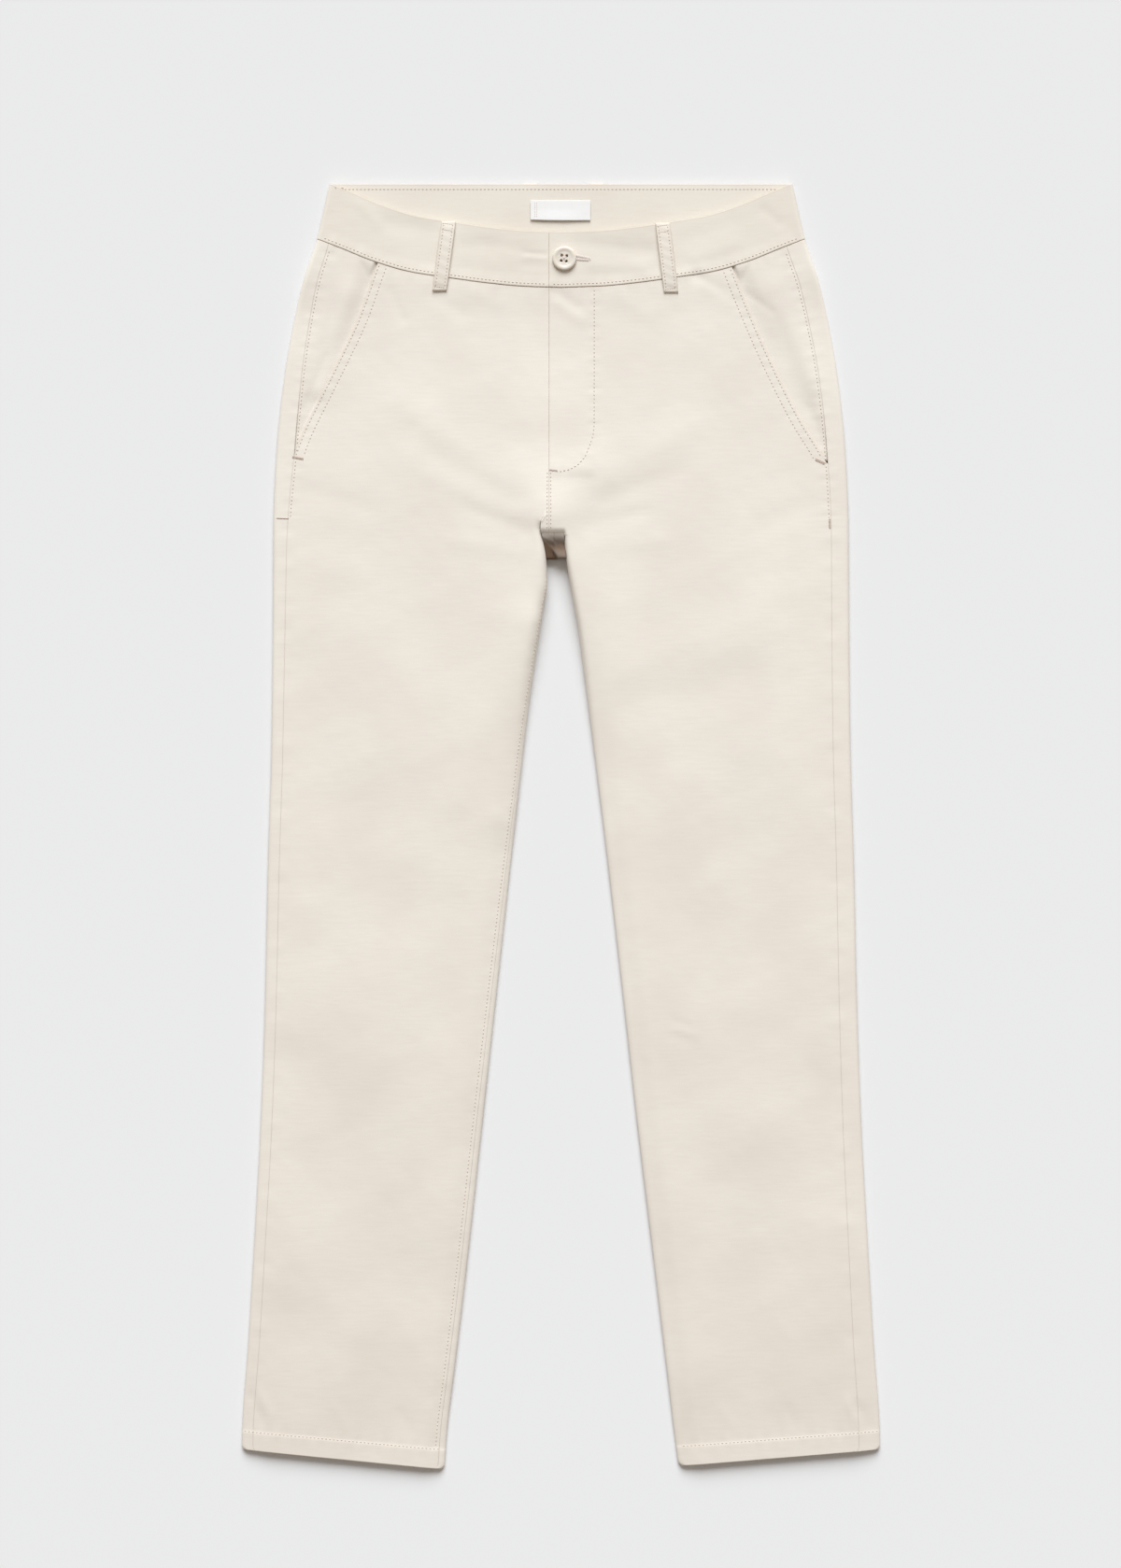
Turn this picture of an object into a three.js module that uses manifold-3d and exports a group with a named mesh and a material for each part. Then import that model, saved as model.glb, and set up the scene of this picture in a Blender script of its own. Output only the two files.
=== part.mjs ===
// Chino trousers laid flat on their back with the front side up, in millimetres.
// X runs across the garment, Y from the hems to the waist, and Z up from the surface it lies on.
// The origin is on that surface, under the middle of the garment's outline.
// "right" and "left" are the wearer's, so the right leg lies on the -X side.
// The back panels lie flat and wrap over both edges of each leg; the front panels lie on them.
import * as THREE from 'three';
import { mergeVertices } from 'three/addons/utils/BufferGeometryUtils.js';
import Module from 'manifold-3d';

// Cloth walls and the clearances between pieces
const CLOTH = 1.4;
const BAND_CLOTH = 2.0;
const LOOP_CLOTH = 1.2;
const SEAM_GAP = 0.3;
const UNDERLAP_GAP = 0.5;

// Heights of the laid garment
const LEG_HEIGHT = 6.6;
const BAND_HEIGHT = 7.2;
const BAND_BASE = LOOP_CLOTH + SEAM_GAP;
const FOLD_DEPTH = 3.3;
const FLY_RAISE = 0.8;
const HEM_RAISE = 0.5;

// Places along the garment
const WAIST_TOP_Y = 481.5;
const WAIST_SEAM_Y = 440;
const CROTCH_Y = 219.5;
const TONGUE_ROOT_Y = 203.5;
const TONGUE_EDGE_Y = 200;
const TONGUE_FOLD = 2.2;
const TONGUE_UNDER = 0.9;
const HEM_OUTER_Y = -467.5;
const HEM_DEPTH = 14.5;
const FLY_END_Y = 267;
const FRONT_CENTRE_X = -9;
const FLY_WIDTH = 34;
const BACK_CENTRE = { waistX: 2, crotchX: -5.5 };

// Half the width of the laid garment, the same on both sides
const OUTLINE = [
  { y: 482, half: 173.5 }, { y: 440, half: 183 }, { y: 410, half: 193 }, { y: 382, half: 199.5 },
  { y: 340, half: 207 }, { y: 284, half: 213 }, { y: 228, half: 215.5 }, { y: 144, half: 216 },
  { y: 60, half: 217 }, { y: -24, half: 219.5 }, { y: -136, half: 222 }, { y: -220, half: 225 },
  { y: -304, half: 229.5 }, { y: -388, half: 234.5 }, { y: -451, half: 239 }, { y: -468, half: 239.4 },
];

// How far the front of the waist dips below the back, against the share of the half width
const WAIST_DIP = [
  { share: 0, dip: 36.5 }, { share: 0.16, dip: 35.4 }, { share: 0.3, dip: 33 }, { share: 0.45, dip: 29.3 },
  { share: 0.62, dip: 24.5 }, { share: 0.77, dip: 16.5 }, { share: 0.9, dip: 7 }, { share: 1, dip: 0 },
];

// Each leg: its inner edge, where its side seam and inseam run in from the folds, and its pocket mouth.
// inseamIn is measured along the inner fold from its edge, over the top when positive, and roll is how far
// in from the edge that fold takes to round over to the top. The back's tongue between the legs stops short
// of the front's crotch edge by tongueShort, from the leg to the centre seam.
const SIDES = {
  right: {
    sign: -1,
    hemDrop: 14.5,
    inner: [
      { y: 219.5, x: -14.5 }, { y: 200, x: -11 }, { y: 182, x: -10.3 }, { y: 165, x: -13 },
      { y: 130, x: -18.5 }, { y: 88, x: -24.5 }, { y: 4, x: -34.3 }, { y: -108, x: -46.6 },
      { y: -220, x: -58.8 }, { y: -332, x: -71 }, { y: -416, x: -81 }, { y: -452, x: -85.4 },
      { y: -482, x: -87.5 },
    ],
    seams: [
      { y: 440, sideIn: 9, inseamIn: 1 }, { y: 290, sideIn: 13.5, inseamIn: 3 },
      { y: 205, sideIn: 10, inseamIn: 1 }, { y: 60, sideIn: 8.6, inseamIn: 5.4 },
      { y: -468, sideIn: 8.4, inseamIn: 6.6 },
    ],
    roll: [
      { y: 219.5, depth: 5 }, { y: 190, depth: 8 }, { y: 130, depth: 10 }, { y: 60, depth: 8.5 },
      { y: 4, depth: 6.5 }, { y: -108, depth: 4.5 }, { y: -220, depth: 3.6 }, { y: -468, depth: 3.3 },
    ],
    pocket: [
      { y: 430, x: -134 }, { y: 421.5, x: -137.5 }, { y: 380.5, x: -151.5 }, { y: 348, x: -165 },
      { y: 322, x: -178.5 }, { y: 294.5, x: -193 }, { y: 277, x: -200.5 },
    ],
    tongueClear: 0.6,
    tongueShort: [3.2, 1.2, 0.6],
  },
  left: {
    sign: 1,
    hemDrop: 12,
    inner: [
      { y: 219.5, x: 1.9 }, { y: 200, x: 3.9 }, { y: 171, x: 8.8 }, { y: 151.5, x: 12.4 },
      { y: 116, x: 17.2 }, { y: 60, x: 24.5 }, { y: 4, x: 31.5 }, { y: -108, x: 44.5 },
      { y: -220, x: 57 }, { y: -332, x: 70.4 }, { y: -416, x: 80.5 }, { y: -452, x: 84.7 },
      { y: -482, x: 88.6 },
    ],
    seams: [
      { y: 440, sideIn: 14, inseamIn: 3 }, { y: 290, sideIn: 13.8, inseamIn: 3 },
      { y: 217.5, sideIn: 13, inseamIn: 2.5 }, { y: 205, sideIn: 13, inseamIn: -1.5 },
      { y: -130, sideIn: 13.4, inseamIn: -1.5 }, { y: -468, sideIn: 16, inseamIn: -1.5 },
    ],
    roll: [
      { y: 219.5, depth: 4 }, { y: 150, depth: 5 }, { y: 60, depth: 4.2 }, { y: -108, depth: 3.5 },
      { y: -468, depth: 3.3 },
    ],
    pocket: [
      { y: 430, x: 124 }, { y: 418, x: 128.5 }, { y: 367, x: 149.5 }, { y: 333.5, x: 165 },
      { y: 304.5, x: 180 }, { y: 280, x: 195 }, { y: 273, x: 198.5 },
    ],
    tongueClear: 0.5,
    tongueShort: [3.4, 2.4, 0.8],
  },
};

// Soft ridges and troughs of the laid cloth: a line from one end to the other, its half width and height
const FOLDS = [
  { name: 'right crotch roll', from: [-14, 228], to: [-22, 160], width: 27, height: 5.4 },
  { name: 'right inner thigh roll', from: [-24, 150], to: [-44, 10], width: 20, height: 1.8 },
  { name: 'left crotch roll', from: [2, 230], to: [16, 165], width: 25, height: 4.4 },
  { name: 'right pocket ridge', from: [-158, 398], to: [-181, 330], width: 11, height: 0.9 },
  { name: 'left pocket ridge', from: [160, 400], to: [186, 335], width: 12, height: 0.8 },
  { name: 'right hip ridge', from: [-150, 250], to: [-60, 330], width: 30, height: 0.6 },
  { name: 'left hip trough', from: [60, 380], to: [110, 300], width: 24, height: -0.6 },
  { name: 'right knee ridge', from: [-140, -120], to: [-110, -190], width: 34, height: 0.8 },
  { name: 'left knee trough', from: [85, -40], to: [130, -150], width: 30, height: -0.7 },
  { name: 'right shin trough', from: [-190, -260], to: [-130, -330], width: 32, height: -0.7 },
  { name: 'left shin ridge', from: [150, -230], to: [190, -330], width: 30, height: 0.6 },
  { name: 'right band trough', from: [-112, 445], to: [-100, 428], width: 16, height: -0.7 },
  { name: 'left band trough', from: [60, 432], to: [44, 420], width: 14, height: -0.5 },
];

// Rows from the waist seam to the hem, as the height of each row at the outer edge
const ROWS = [
  440, 425, 405, 385, 360, 335, 310, 290, 277, 250, 235, 219.6, 217.5, 210, 203.5, 195, 180, 160, 135,
  105, 70, 30, -20, -75, -130, -185, -240, -295, -350, -400, -436, -452.4, -453.2, -467.5,
];
const BAND_ROWS = [1, 0.94, 0.5, 0.06, 0];
const FRONT_COLUMNS = 9;
const BACK_COLUMNS = 4;
const RIM_COLUMNS = 4;
const RIM_WIDTH = 5.2;

// Fastening and trim
const BUTTON = {
  x: 2.5,
  y: 425.3,
  radius: 9,
  thickness: 3.2,
  dishRadius: 5.2,
  dishDepth: 0.9,
  holeRadius: 0.9,
  holeSpacing: 3.6,
};
const LABEL = { x: -0.4, y: 462, width: 45, height: 14.7, thickness: 1 };
const LOOP = { width: 11, arch: 1.1, steps: 8, below: 11 };
const FRONT_LOOPS = { right: { topX: -84, bottomX: -91 }, left: { topX: 76, bottomX: 82.5 } };
const BACK_LOOPS = { right: -22.8, left: 26.6 };

const cloth = new THREE.MeshStandardMaterial({ color: 0xe9e2d6, roughness: 0.92, metalness: 0 });
const labelCloth = new THREE.MeshStandardMaterial({ color: 0xf6f5f2, roughness: 0.75, metalness: 0 });
const buttonShell = new THREE.MeshStandardMaterial({ color: 0xe2dace, roughness: 0.45, metalness: 0 });

// A smooth curve through a table's rows, as a function of one of its columns
function curve(rows, key, value) {
  const sorted = [...rows].sort((a, b) => a[key] - b[key]);
  const at = sorted.map((row) => row[key]);
  const to = sorted.map((row) => row[value]);
  const last = at.length - 1;
  const slope = (i) => (to[i + 1] - to[i]) / (at[i + 1] - at[i]);
  const tangent = at.map((_, i) => {
    if (i === 0) return slope(0);
    if (i === last) return slope(last - 1);
    const [before, after] = [slope(i - 1), slope(i)];
    return before * after <= 0 ? 0 : (2 * before * after) / (before + after);
  });
  return (x) => {
    if (x <= at[0]) return to[0] + tangent[0] * (x - at[0]);
    if (x >= at[last]) return to[last] + tangent[last] * (x - at[last]);
    const i = at.findIndex((start, k) => x <= at[k + 1] && x >= start);
    const width = at[i + 1] - at[i];
    const t = (x - at[i]) / width;
    const [t2, t3] = [t * t, t * t * t];
    return (2 * t3 - 3 * t2 + 1) * to[i] + (t3 - 2 * t2 + t) * width * tangent[i]
      + (3 * t2 - 2 * t3) * to[i + 1] + (t3 - t2) * width * tangent[i + 1];
  };
}

const lerp = THREE.MathUtils.lerp;
const smooth = (x, low, high) => THREE.MathUtils.smoothstep(x, Math.min(low, high), Math.max(low, high));
const halfWidth = curve(OUTLINE, 'y', 'half');
const dipAt = curve(WAIST_DIP, 'share', 'dip');
for (const side of Object.values(SIDES)) {
  side.innerX = curve(side.inner, 'y', 'x');
  side.sideIn = curve(side.seams, 'y', 'sideIn');
  side.inseamIn = curve(side.seams, 'y', 'inseamIn');
  side.rollDepth = curve(side.roll, 'y', 'depth');
  side.pocketX = curve(side.pocket, 'y', 'x');
  side.pocketEndY = Math.min(...side.pocket.map((row) => row.y));
}

// The soft folds' height at a place
function foldHeight(x, y) {
  let height = 0;
  for (const fold of FOLDS) {
    const [ax, ay] = fold.from;
    const [bx, by] = [fold.to[0] - ax, fold.to[1] - ay];
    const along = THREE.MathUtils.clamp(((x - ax) * bx + (y - ay) * by) / (bx * bx + by * by), 0, 1);
    const away = Math.hypot(x - ax - along * bx, y - ay - along * by) / fold.width;
    height += fold.height * Math.exp(-away * away);
  }
  return height;
}

// The underside is flat, and rises a little near the waist, where the back belt loops lie under it
const baseHeight = (y) => BAND_BASE * smooth(y, 404, 428);

// The height of the front's outer surface
function topHeight(side, x, y) {
  const band = lerp(LEG_HEIGHT, BAND_HEIGHT, smooth(y, 380, 415));
  const flyX = FRONT_CENTRE_X + FLY_WIDTH;
  const fly = side.sign > 0 ? 1 - smooth(x, flyX - 4, flyX + 4) : 0;
  return band + foldHeight(x, y) + FLY_RAISE * fly * smooth(y, FLY_END_Y - 8, FLY_END_Y + 2);
}

// A row is a line across one side: level above the crotch, and dropping to the inner edge down the leg
function makeRow(side, y, isLeg) {
  const outerX = side.sign * halfWidth(y);
  const drop = isLeg ? side.hemDrop * (CROTCH_Y - y) / (CROTCH_Y - HEM_OUTER_Y) : 0;
  const innerY = y - drop;
  const innerX = side.innerX(innerY);
  const lineY = (x) => (isLeg ? lerp(y, innerY, (x - outerX) / (innerX - outerX)) : y);
  const dipFade = smooth(y, 250, WAIST_SEAM_Y);
  const frontY = (x) => lineY(x) - dipAt(Math.min(1, Math.abs(x) / halfWidth(y))) * dipFade;
  return { y, outerX, innerX, isLeg, lineY, frontY, hem: y <= HEM_OUTER_Y + HEM_DEPTH ? HEM_RAISE : 0 };
}

// A place on the fold at a row's outer or inner edge, measured from the edge line: up and over the top
// when positive, down and under when negative. The fold is a half round between the base and the top.
const QUARTER = FOLD_DEPTH * Math.PI / 2;
const overDepth = (side, row, atOuter) => (atOuter ? FOLD_DEPTH : side.rollDepth(row.y));
function foldPoint(side, row, atOuter, measure) {
  const over = measure > 0;
  const reach = over ? overDepth(side, row, atOuter) : FOLD_DEPTH;
  const quarter = reach * Math.PI / 2;
  const edgeX = atOuter ? row.outerX : row.innerX;
  const inward = atOuter ? -side.sign : side.sign;
  const angle = Math.min(1, Math.abs(measure) / quarter) * Math.PI / 2;
  const x = edgeX + inward * (reach * (1 - Math.cos(angle)) + Math.max(0, Math.abs(measure) - quarter));
  const y = over ? row.frontY(x) : row.lineY(x);
  const base = baseHeight(row.y);
  const top = topHeight(side, x, y) + row.hem;
  const middle = (base + top) / 2;
  const turn = over ? Math.sin(angle) : -Math.sin(angle);
  const point = new THREE.Vector3(x, y, middle + (top - middle) * turn);
  point.normal = new THREE.Vector3(-inward * Math.cos(angle) / reach, 0, turn / (top - middle)).normalize();
  return point;
}

function frontPoint(side, row, x, raise = 0) {
  const y = row.frontY(x);
  return new THREE.Vector3(x, y, topHeight(side, x, y) + row.hem + raise);
}

// A sheet is built from grids of points that share their borders, then thickened inward to a closed wall
class Sheet {
  constructor() {
    this.points = [];
    this.faces = [];
    this.index = new Map();
  }

  add(point) {
    const key = [point.x, point.y, point.z].map((v) => Math.round(v * 1e4)).join();
    if (!this.index.has(key)) {
      this.index.set(key, this.points.length);
      this.points.push(point);
    }
    return this.index.get(key);
  }

  addGrid(grid) {
    const ids = grid.map((row) => row.map((point) => this.add(point)));
    for (let i = 0; i + 1 < ids.length; i += 1) {
      for (let j = 0; j + 1 < ids[i].length; j += 1) {
        const [a, b, c, d] = [ids[i][j], ids[i][j + 1], ids[i + 1][j + 1], ids[i + 1][j]];
        if (new Set([a, b, c]).size === 3) this.faces.push([a, b, c]);
        if (new Set([a, c, d]).size === 3) this.faces.push([a, c, d]);
      }
    }
    return this;
  }

  thicken(thickness, flip) {
    const faces = flip ? this.faces.map(([a, b, c]) => [a, c, b]) : this.faces;
    const normals = this.points.map(() => new THREE.Vector3());
    for (const [a, b, c] of faces) {
      const ab = this.points[b].clone().sub(this.points[a]);
      const normal = ab.cross(this.points[c].clone().sub(this.points[a]));
      for (const id of [a, b, c]) normals[id].add(normal);
    }
    const count = this.points.length;
    const inner = this.points.map((p, i) => {
      const normal = p.normal ?? normals[i].normalize();
      return p.clone().addScaledVector(normal, -thickness);
    });
    const triangles = [...faces];
    const sides = new Set(faces.flatMap(([a, b, c]) => [`${a},${b}`, `${b},${c}`, `${c},${a}`]));
    for (const [a, b, c] of faces) {
      triangles.push([a + count, c + count, b + count]);
      for (const [from, to] of [[a, b], [b, c], [c, a]]) {
        if (sides.has(`${to},${from}`)) continue;
        triangles.push([to, from, from + count], [to, from + count, to + count]);
      }
    }
    const geometry = new THREE.BufferGeometry();
    const all = [...this.points, ...inner].flatMap((p) => [p.x, p.y, p.z]);
    geometry.setAttribute('position', new THREE.Float32BufferAttribute(all, 3));
    geometry.setIndex(triangles.flat());
    return geometry;
  }
}

const spread = (from, to, count) => Array.from({ length: count + 1 }, (_, i) => lerp(from, to, i / count));
const backCentreX = (y) => {
  const share = (y - TONGUE_ROOT_Y) / (WAIST_SEAM_Y - TONGUE_ROOT_Y);
  return lerp(BACK_CENTRE.crotchX, BACK_CENTRE.waistX, share);
};

// The front panel's outer border is the side seam, or the slanted pocket mouth above the pocket's end
function frontOuterX(side, row, inset) {
  const seamX = row.outerX - side.sign * (side.sideIn(row.y) + inset);
  if (row.y <= side.pocketEndY) return seamX;
  let x = seamX;
  for (let pass = 0; pass < 12; pass += 1) x = side.pocketX(row.frontY(x));
  return side.sign > 0 ? Math.min(x, seamX) : Math.max(x, seamX);
}

function frontPanel(side) {
  const grid = ROWS.map((y) => {
    const row = makeRow(side, y, y < CROTCH_Y);
    const lift = y === WAIST_SEAM_Y ? -SEAM_GAP : 0;
    const start = side.inseamIn(y) + SEAM_GAP;
    const centreX = FRONT_CENTRE_X + side.sign * SEAM_GAP / 2;
    const rolled = overDepth(side, row, false) * Math.PI / 2 - start;
    const rimWidth = row.isLeg ? Math.max(RIM_WIDTH, rolled) : RIM_WIDTH;
    const rim = spread(0, rimWidth, RIM_COLUMNS).map((step) => (row.isLeg
      ? foldPoint(side, row, false, start + step)
      : frontPoint(side, row, centreX + side.sign * step)));
    const outerX = frontOuterX(side, row, SEAM_GAP / 2);
    const across = spread(rim.at(-1).x, outerX, FRONT_COLUMNS).slice(1).map((x) => frontPoint(side, row, x));
    return [...rim, ...across].map((p) => p.setY(p.y + lift));
  });
  return new Sheet().addGrid(grid).thicken(CLOTH, side.sign > 0);
}

// The back panel lies under the whole side and wraps over the outer fold to the side seam. Below the crotch
// it also wraps over the inner fold to the inseam. Its tongue folds over low between the legs, then rises
// late to the front's crotch edge.
function backPanel(side) {
  const sheet = new Sheet();
  const rows = ROWS.map((y) => makeRow(side, y, y <= TONGUE_ROOT_Y));
  const rootRow = rows.find((row) => row.y === TONGUE_ROOT_Y);
  const splitX = rootRow.innerX + side.sign * FOLD_DEPTH;
  const lift = (row) => (row.y === WAIST_SEAM_Y ? UNDERLAP_GAP : 0);
  const bottom = (row, x) => new THREE.Vector3(x, row.lineY(x) - lift(row), baseHeight(row.y));
  sheet.addGrid(rows.map((row) => {
    const seam = side.sideIn(row.y) + QUARTER - FOLD_DEPTH - SEAM_GAP / 2;
    const measures = [seam, (seam + QUARTER) / 2, ...spread(QUARTER, -QUARTER, 6)];
    const fold = measures.map((m) => foldPoint(side, row, true, m)).map((p) => p.setY(p.y - lift(row)));
    const toX = row.isLeg ? row.innerX + side.sign * FOLD_DEPTH : splitX;
    return [...fold, ...spread(fold.at(-1).x, toX, BACK_COLUMNS).slice(1).map((x) => bottom(row, x))];
  }));
  const tongueX = (y) => side.innerX(y) - side.sign * side.tongueClear;
  const centre = (y) => backCentreX(y) + side.sign * SEAM_GAP / 2;
  sheet.addGrid(rows.filter((row) => row.y >= TONGUE_ROOT_Y)
    .map((row) => [splitX, ...spread(tongueX(TONGUE_ROOT_Y), centre(row.y), 2)].map((x) => bottom(row, x))));
  sheet.addGrid(rows.filter((row) => row.isLeg).map((row) => {
    const end = side.inseamIn(row.y) - SEAM_GAP / 2;
    return spread(-QUARTER, end, 4).map((m) => foldPoint(side, row, false, m));
  }));
  const crown = (x) => topHeight(side, x, CROTCH_Y) - CLOTH - TONGUE_UNDER;
  const radians = (degrees) => degrees * Math.PI / 180;
  const folded = spread(-90, 70, 5).map(radians).map((angle) => ({
    y: () => TONGUE_EDGE_Y + (1 - Math.cos(angle)) * (angle < 0 ? TONGUE_ROOT_Y - TONGUE_EDGE_Y : TONGUE_FOLD),
    z: () => TONGUE_FOLD * (1 + Math.sin(angle)),
  }));
  const rising = spread(15, 85, 5).map(radians).map((angle) => ({
    y: (short) => lerp(TONGUE_EDGE_Y + TONGUE_FOLD, CROTCH_Y - short, Math.sin(angle)),
    z: (x) => lerp(2 * TONGUE_FOLD, crown(x), 1 - Math.cos(angle)),
  }));
  sheet.addGrid([...folded, ...rising].map((place, i) => side.tongueShort.map((short, j) => {
    const y = place.y(short);
    const x = lerp(tongueX(y), centre(y), j / (side.tongueShort.length - 1));
    return i === 0 ? bottom(rootRow, x) : new THREE.Vector3(x, y, place.z(x));
  })));
  return sheet.thicken(CLOTH, side.sign > 0);
}

// The pocket facing shows in the slanted mouth, a cloth's thickness under the front panel
function pocketFacing(side) {
  const tuck = 10;
  const drop = CLOTH + UNDERLAP_GAP;
  const grid = ROWS.filter((y) => y >= side.pocketEndY - 1).map((y) => {
    const row = makeRow(side, y, false);
    const outerX = row.outerX - side.sign * (side.sideIn(y) + SEAM_GAP / 2);
    const innerX = frontOuterX(side, row, 0) - side.sign * tuck;
    const lift = y === WAIST_SEAM_Y ? -SEAM_GAP : 0;
    return spread(innerX, outerX, 4).map((x) => {
      const point = frontPoint(side, row, x, -drop);
      return point.setY(point.y + lift);
    });
  });
  return new Sheet().addGrid(grid).thicken(LOOP_CLOTH, side.sign > 0);
}

// Half of the waistband: from the centre front round the side fold to the centre back
function waistband(side) {
  const grid = BAND_ROWS.map((share) => {
    const y = lerp(WAIST_SEAM_Y, WAIST_TOP_Y, share);
    const row = makeRow(side, y, false);
    const outerX = row.outerX;
    const dipped = (x) => y - dipAt(Math.min(1, Math.abs(x) / Math.abs(outerX)));
    const radius = (BAND_HEIGHT - BAND_BASE) / 2;
    const frontX = spread(FRONT_CENTRE_X + side.sign * SEAM_GAP / 2, outerX - side.sign * radius, 12);
    const front = frontX.map((x) => {
      const at = dipped(x);
      return new THREE.Vector3(x, at, topHeight(side, x, at));
    });
    const round = spread(90, -90, 6).slice(1).map((degrees) => {
      const angle = degrees * Math.PI / 180;
      const x = outerX - side.sign * radius * (1 - Math.cos(angle));
      return new THREE.Vector3(x, degrees > 0 ? dipped(x) : y, BAND_BASE + radius * (1 + Math.sin(angle)));
    });
    const endX = BACK_CENTRE.waistX + side.sign * SEAM_GAP / 2;
    const back = spread(outerX - side.sign * radius, endX, 6).slice(1).map((x) => new THREE.Vector3(x, y, BAND_BASE));
    return [...front, ...round, ...back];
  });
  return new Sheet().addGrid(grid).thicken(BAND_CLOTH, side.sign > 0);
}

// A front belt loop is a strip fixed at the band's top edge and below its seam, arched over the band
function frontLoop(side, place) {
  const row = makeRow(side, WAIST_SEAM_Y, false);
  const grid = spread(0, 1, LOOP.steps).map((share) => {
    const centreX = lerp(place.topX, place.bottomX, share);
    const top = WAIST_TOP_Y - dipAt(Math.abs(place.topX) / halfWidth(WAIST_TOP_Y));
    const bottom = row.frontY(place.bottomX) - LOOP.below;
    const y = lerp(top, bottom, share);
    const lift = SEAM_GAP + 0.1 + LOOP_CLOTH + LOOP.arch * Math.sin(Math.PI * share);
    return spread(centreX - side.sign * LOOP.width / 2, centreX + side.sign * LOOP.width / 2, 2)
      .map((x) => new THREE.Vector3(x, y, topHeight(side, centreX, y) + lift));
  });
  return new Sheet().addGrid(grid).thicken(LOOP_CLOTH, side.sign > 0);
}

// A back belt loop lies flat under the band, its upper end turned just past the band's top edge
function backLoop(centreX) {
  const [top, bottom] = [WAIST_TOP_Y + 0.5, WAIST_SEAM_Y - LOOP.below];
  const outline = new THREE.Shape();
  const half = LOOP.width / 2;
  const corner = 0.8;
  outline.moveTo(-half + corner, bottom);
  outline.lineTo(half - corner, bottom);
  outline.quadraticCurveTo(half, bottom, half, bottom + corner);
  outline.lineTo(half, top - corner);
  outline.quadraticCurveTo(half, top, half - corner, top);
  outline.lineTo(-half + corner, top);
  outline.quadraticCurveTo(-half, top, -half, top - corner);
  outline.lineTo(-half, bottom + corner);
  outline.quadraticCurveTo(-half, bottom, -half + corner, bottom);
  const settings = { depth: LOOP_CLOTH, bevelEnabled: false, curveSegments: 3 };
  const geometry = new THREE.ExtrudeGeometry(outline, settings);
  geometry.translate(centreX, 0, 0);
  return geometry;
}

// The woven label lies on the inside of the back waistband
function label() {
  const geometry = new THREE.BoxGeometry(LABEL.width, LABEL.height, LABEL.thickness);
  geometry.translate(LABEL.x, LABEL.y, BAND_BASE + BAND_CLOTH + SEAM_GAP + LABEL.thickness / 2);
  return geometry;
}

const wasm = await Module();
wasm.setup();

function solidOf(geometry) {
  const bare = geometry.clone();
  bare.deleteAttribute('normal');
  bare.deleteAttribute('uv');
  const merged = mergeVertices(bare, 1e-5);
  const vertProperties = new Float32Array(merged.attributes.position.array);
  const triVerts = new Uint32Array(merged.index.array);
  return new wasm.Manifold(new wasm.Mesh({ numProp: 3, vertProperties, triVerts }));
}

// The button is dished, with four sewing holes through it
function button() {
  const { radius, thickness, dishRadius, dishDepth, holeRadius, holeSpacing } = BUTTON;
  const profile = [
    [0, 0], [radius - 1.2, 0], [radius, 1], [radius, thickness - 1.1], [radius - 0.9, thickness - 0.2],
    [radius - 2, thickness], [dishRadius + 0.6, thickness - 0.15], [dishRadius - 0.5, thickness - dishDepth],
    [0, thickness - dishDepth],
  ].map(([r, z]) => new THREE.Vector2(r, z));
  const disc = new THREE.LatheGeometry(profile, 28).rotateX(Math.PI / 2);
  let solid = solidOf(disc);
  const half = holeSpacing / 2;
  for (const [x, y] of [[-half, -half], [half, -half], [half, half], [-half, half]]) {
    const hole = new THREE.CylinderGeometry(holeRadius, holeRadius, 3 * thickness, 10).rotateX(Math.PI / 2);
    solid = solid.subtract(solidOf(hole.translate(x, y, 0)));
  }
  const mesh = solid.getMesh();
  const geometry = new THREE.BufferGeometry();
  geometry.setAttribute('position', new THREE.Float32BufferAttribute(mesh.vertProperties, 3));
  geometry.setIndex([...mesh.triVerts]);
  return geometry.translate(BUTTON.x, BUTTON.y, BAND_HEIGHT + FLY_RAISE + SEAM_GAP + 0.05);
}

const trousers = new THREE.Group();

function piece(name, geometry, material) {
  const mesh = new THREE.Mesh(geometry, material);
  mesh.name = name;
  trousers.add(mesh);
}

for (const [name, side] of Object.entries(SIDES)) {
  piece(`front_${name}`, frontPanel(side), cloth);
  piece(`back_${name}`, backPanel(side), cloth);
  piece(`pocket_facing_${name}`, pocketFacing(side), cloth);
  piece(`waistband_${name}`, waistband(side), cloth);
  piece(`belt_loop_front_${name}`, frontLoop(side, FRONT_LOOPS[name]), cloth);
  piece(`belt_loop_back_${name}`, backLoop(BACK_LOOPS[name]), cloth);
}
piece('waist_button', button(), buttonShell);
piece('waist_label', label(), labelCloth);

export default trousers;
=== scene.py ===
"""Pale chino trousers laid flat, front side up. All shapes are in millimetres until they become meshes.

X runs across the garment, Y from the hems to the waist and Z up from the floor. "right" and "left" are
the wearer's, so the right leg lies on the -X side. Tables repeat the named sizes of the solids.
"""

import math

import bpy
import numpy as np
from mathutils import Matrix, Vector
from mathutils.bvhtree import BVHTree
from mathutils.kdtree import KDTree


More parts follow.
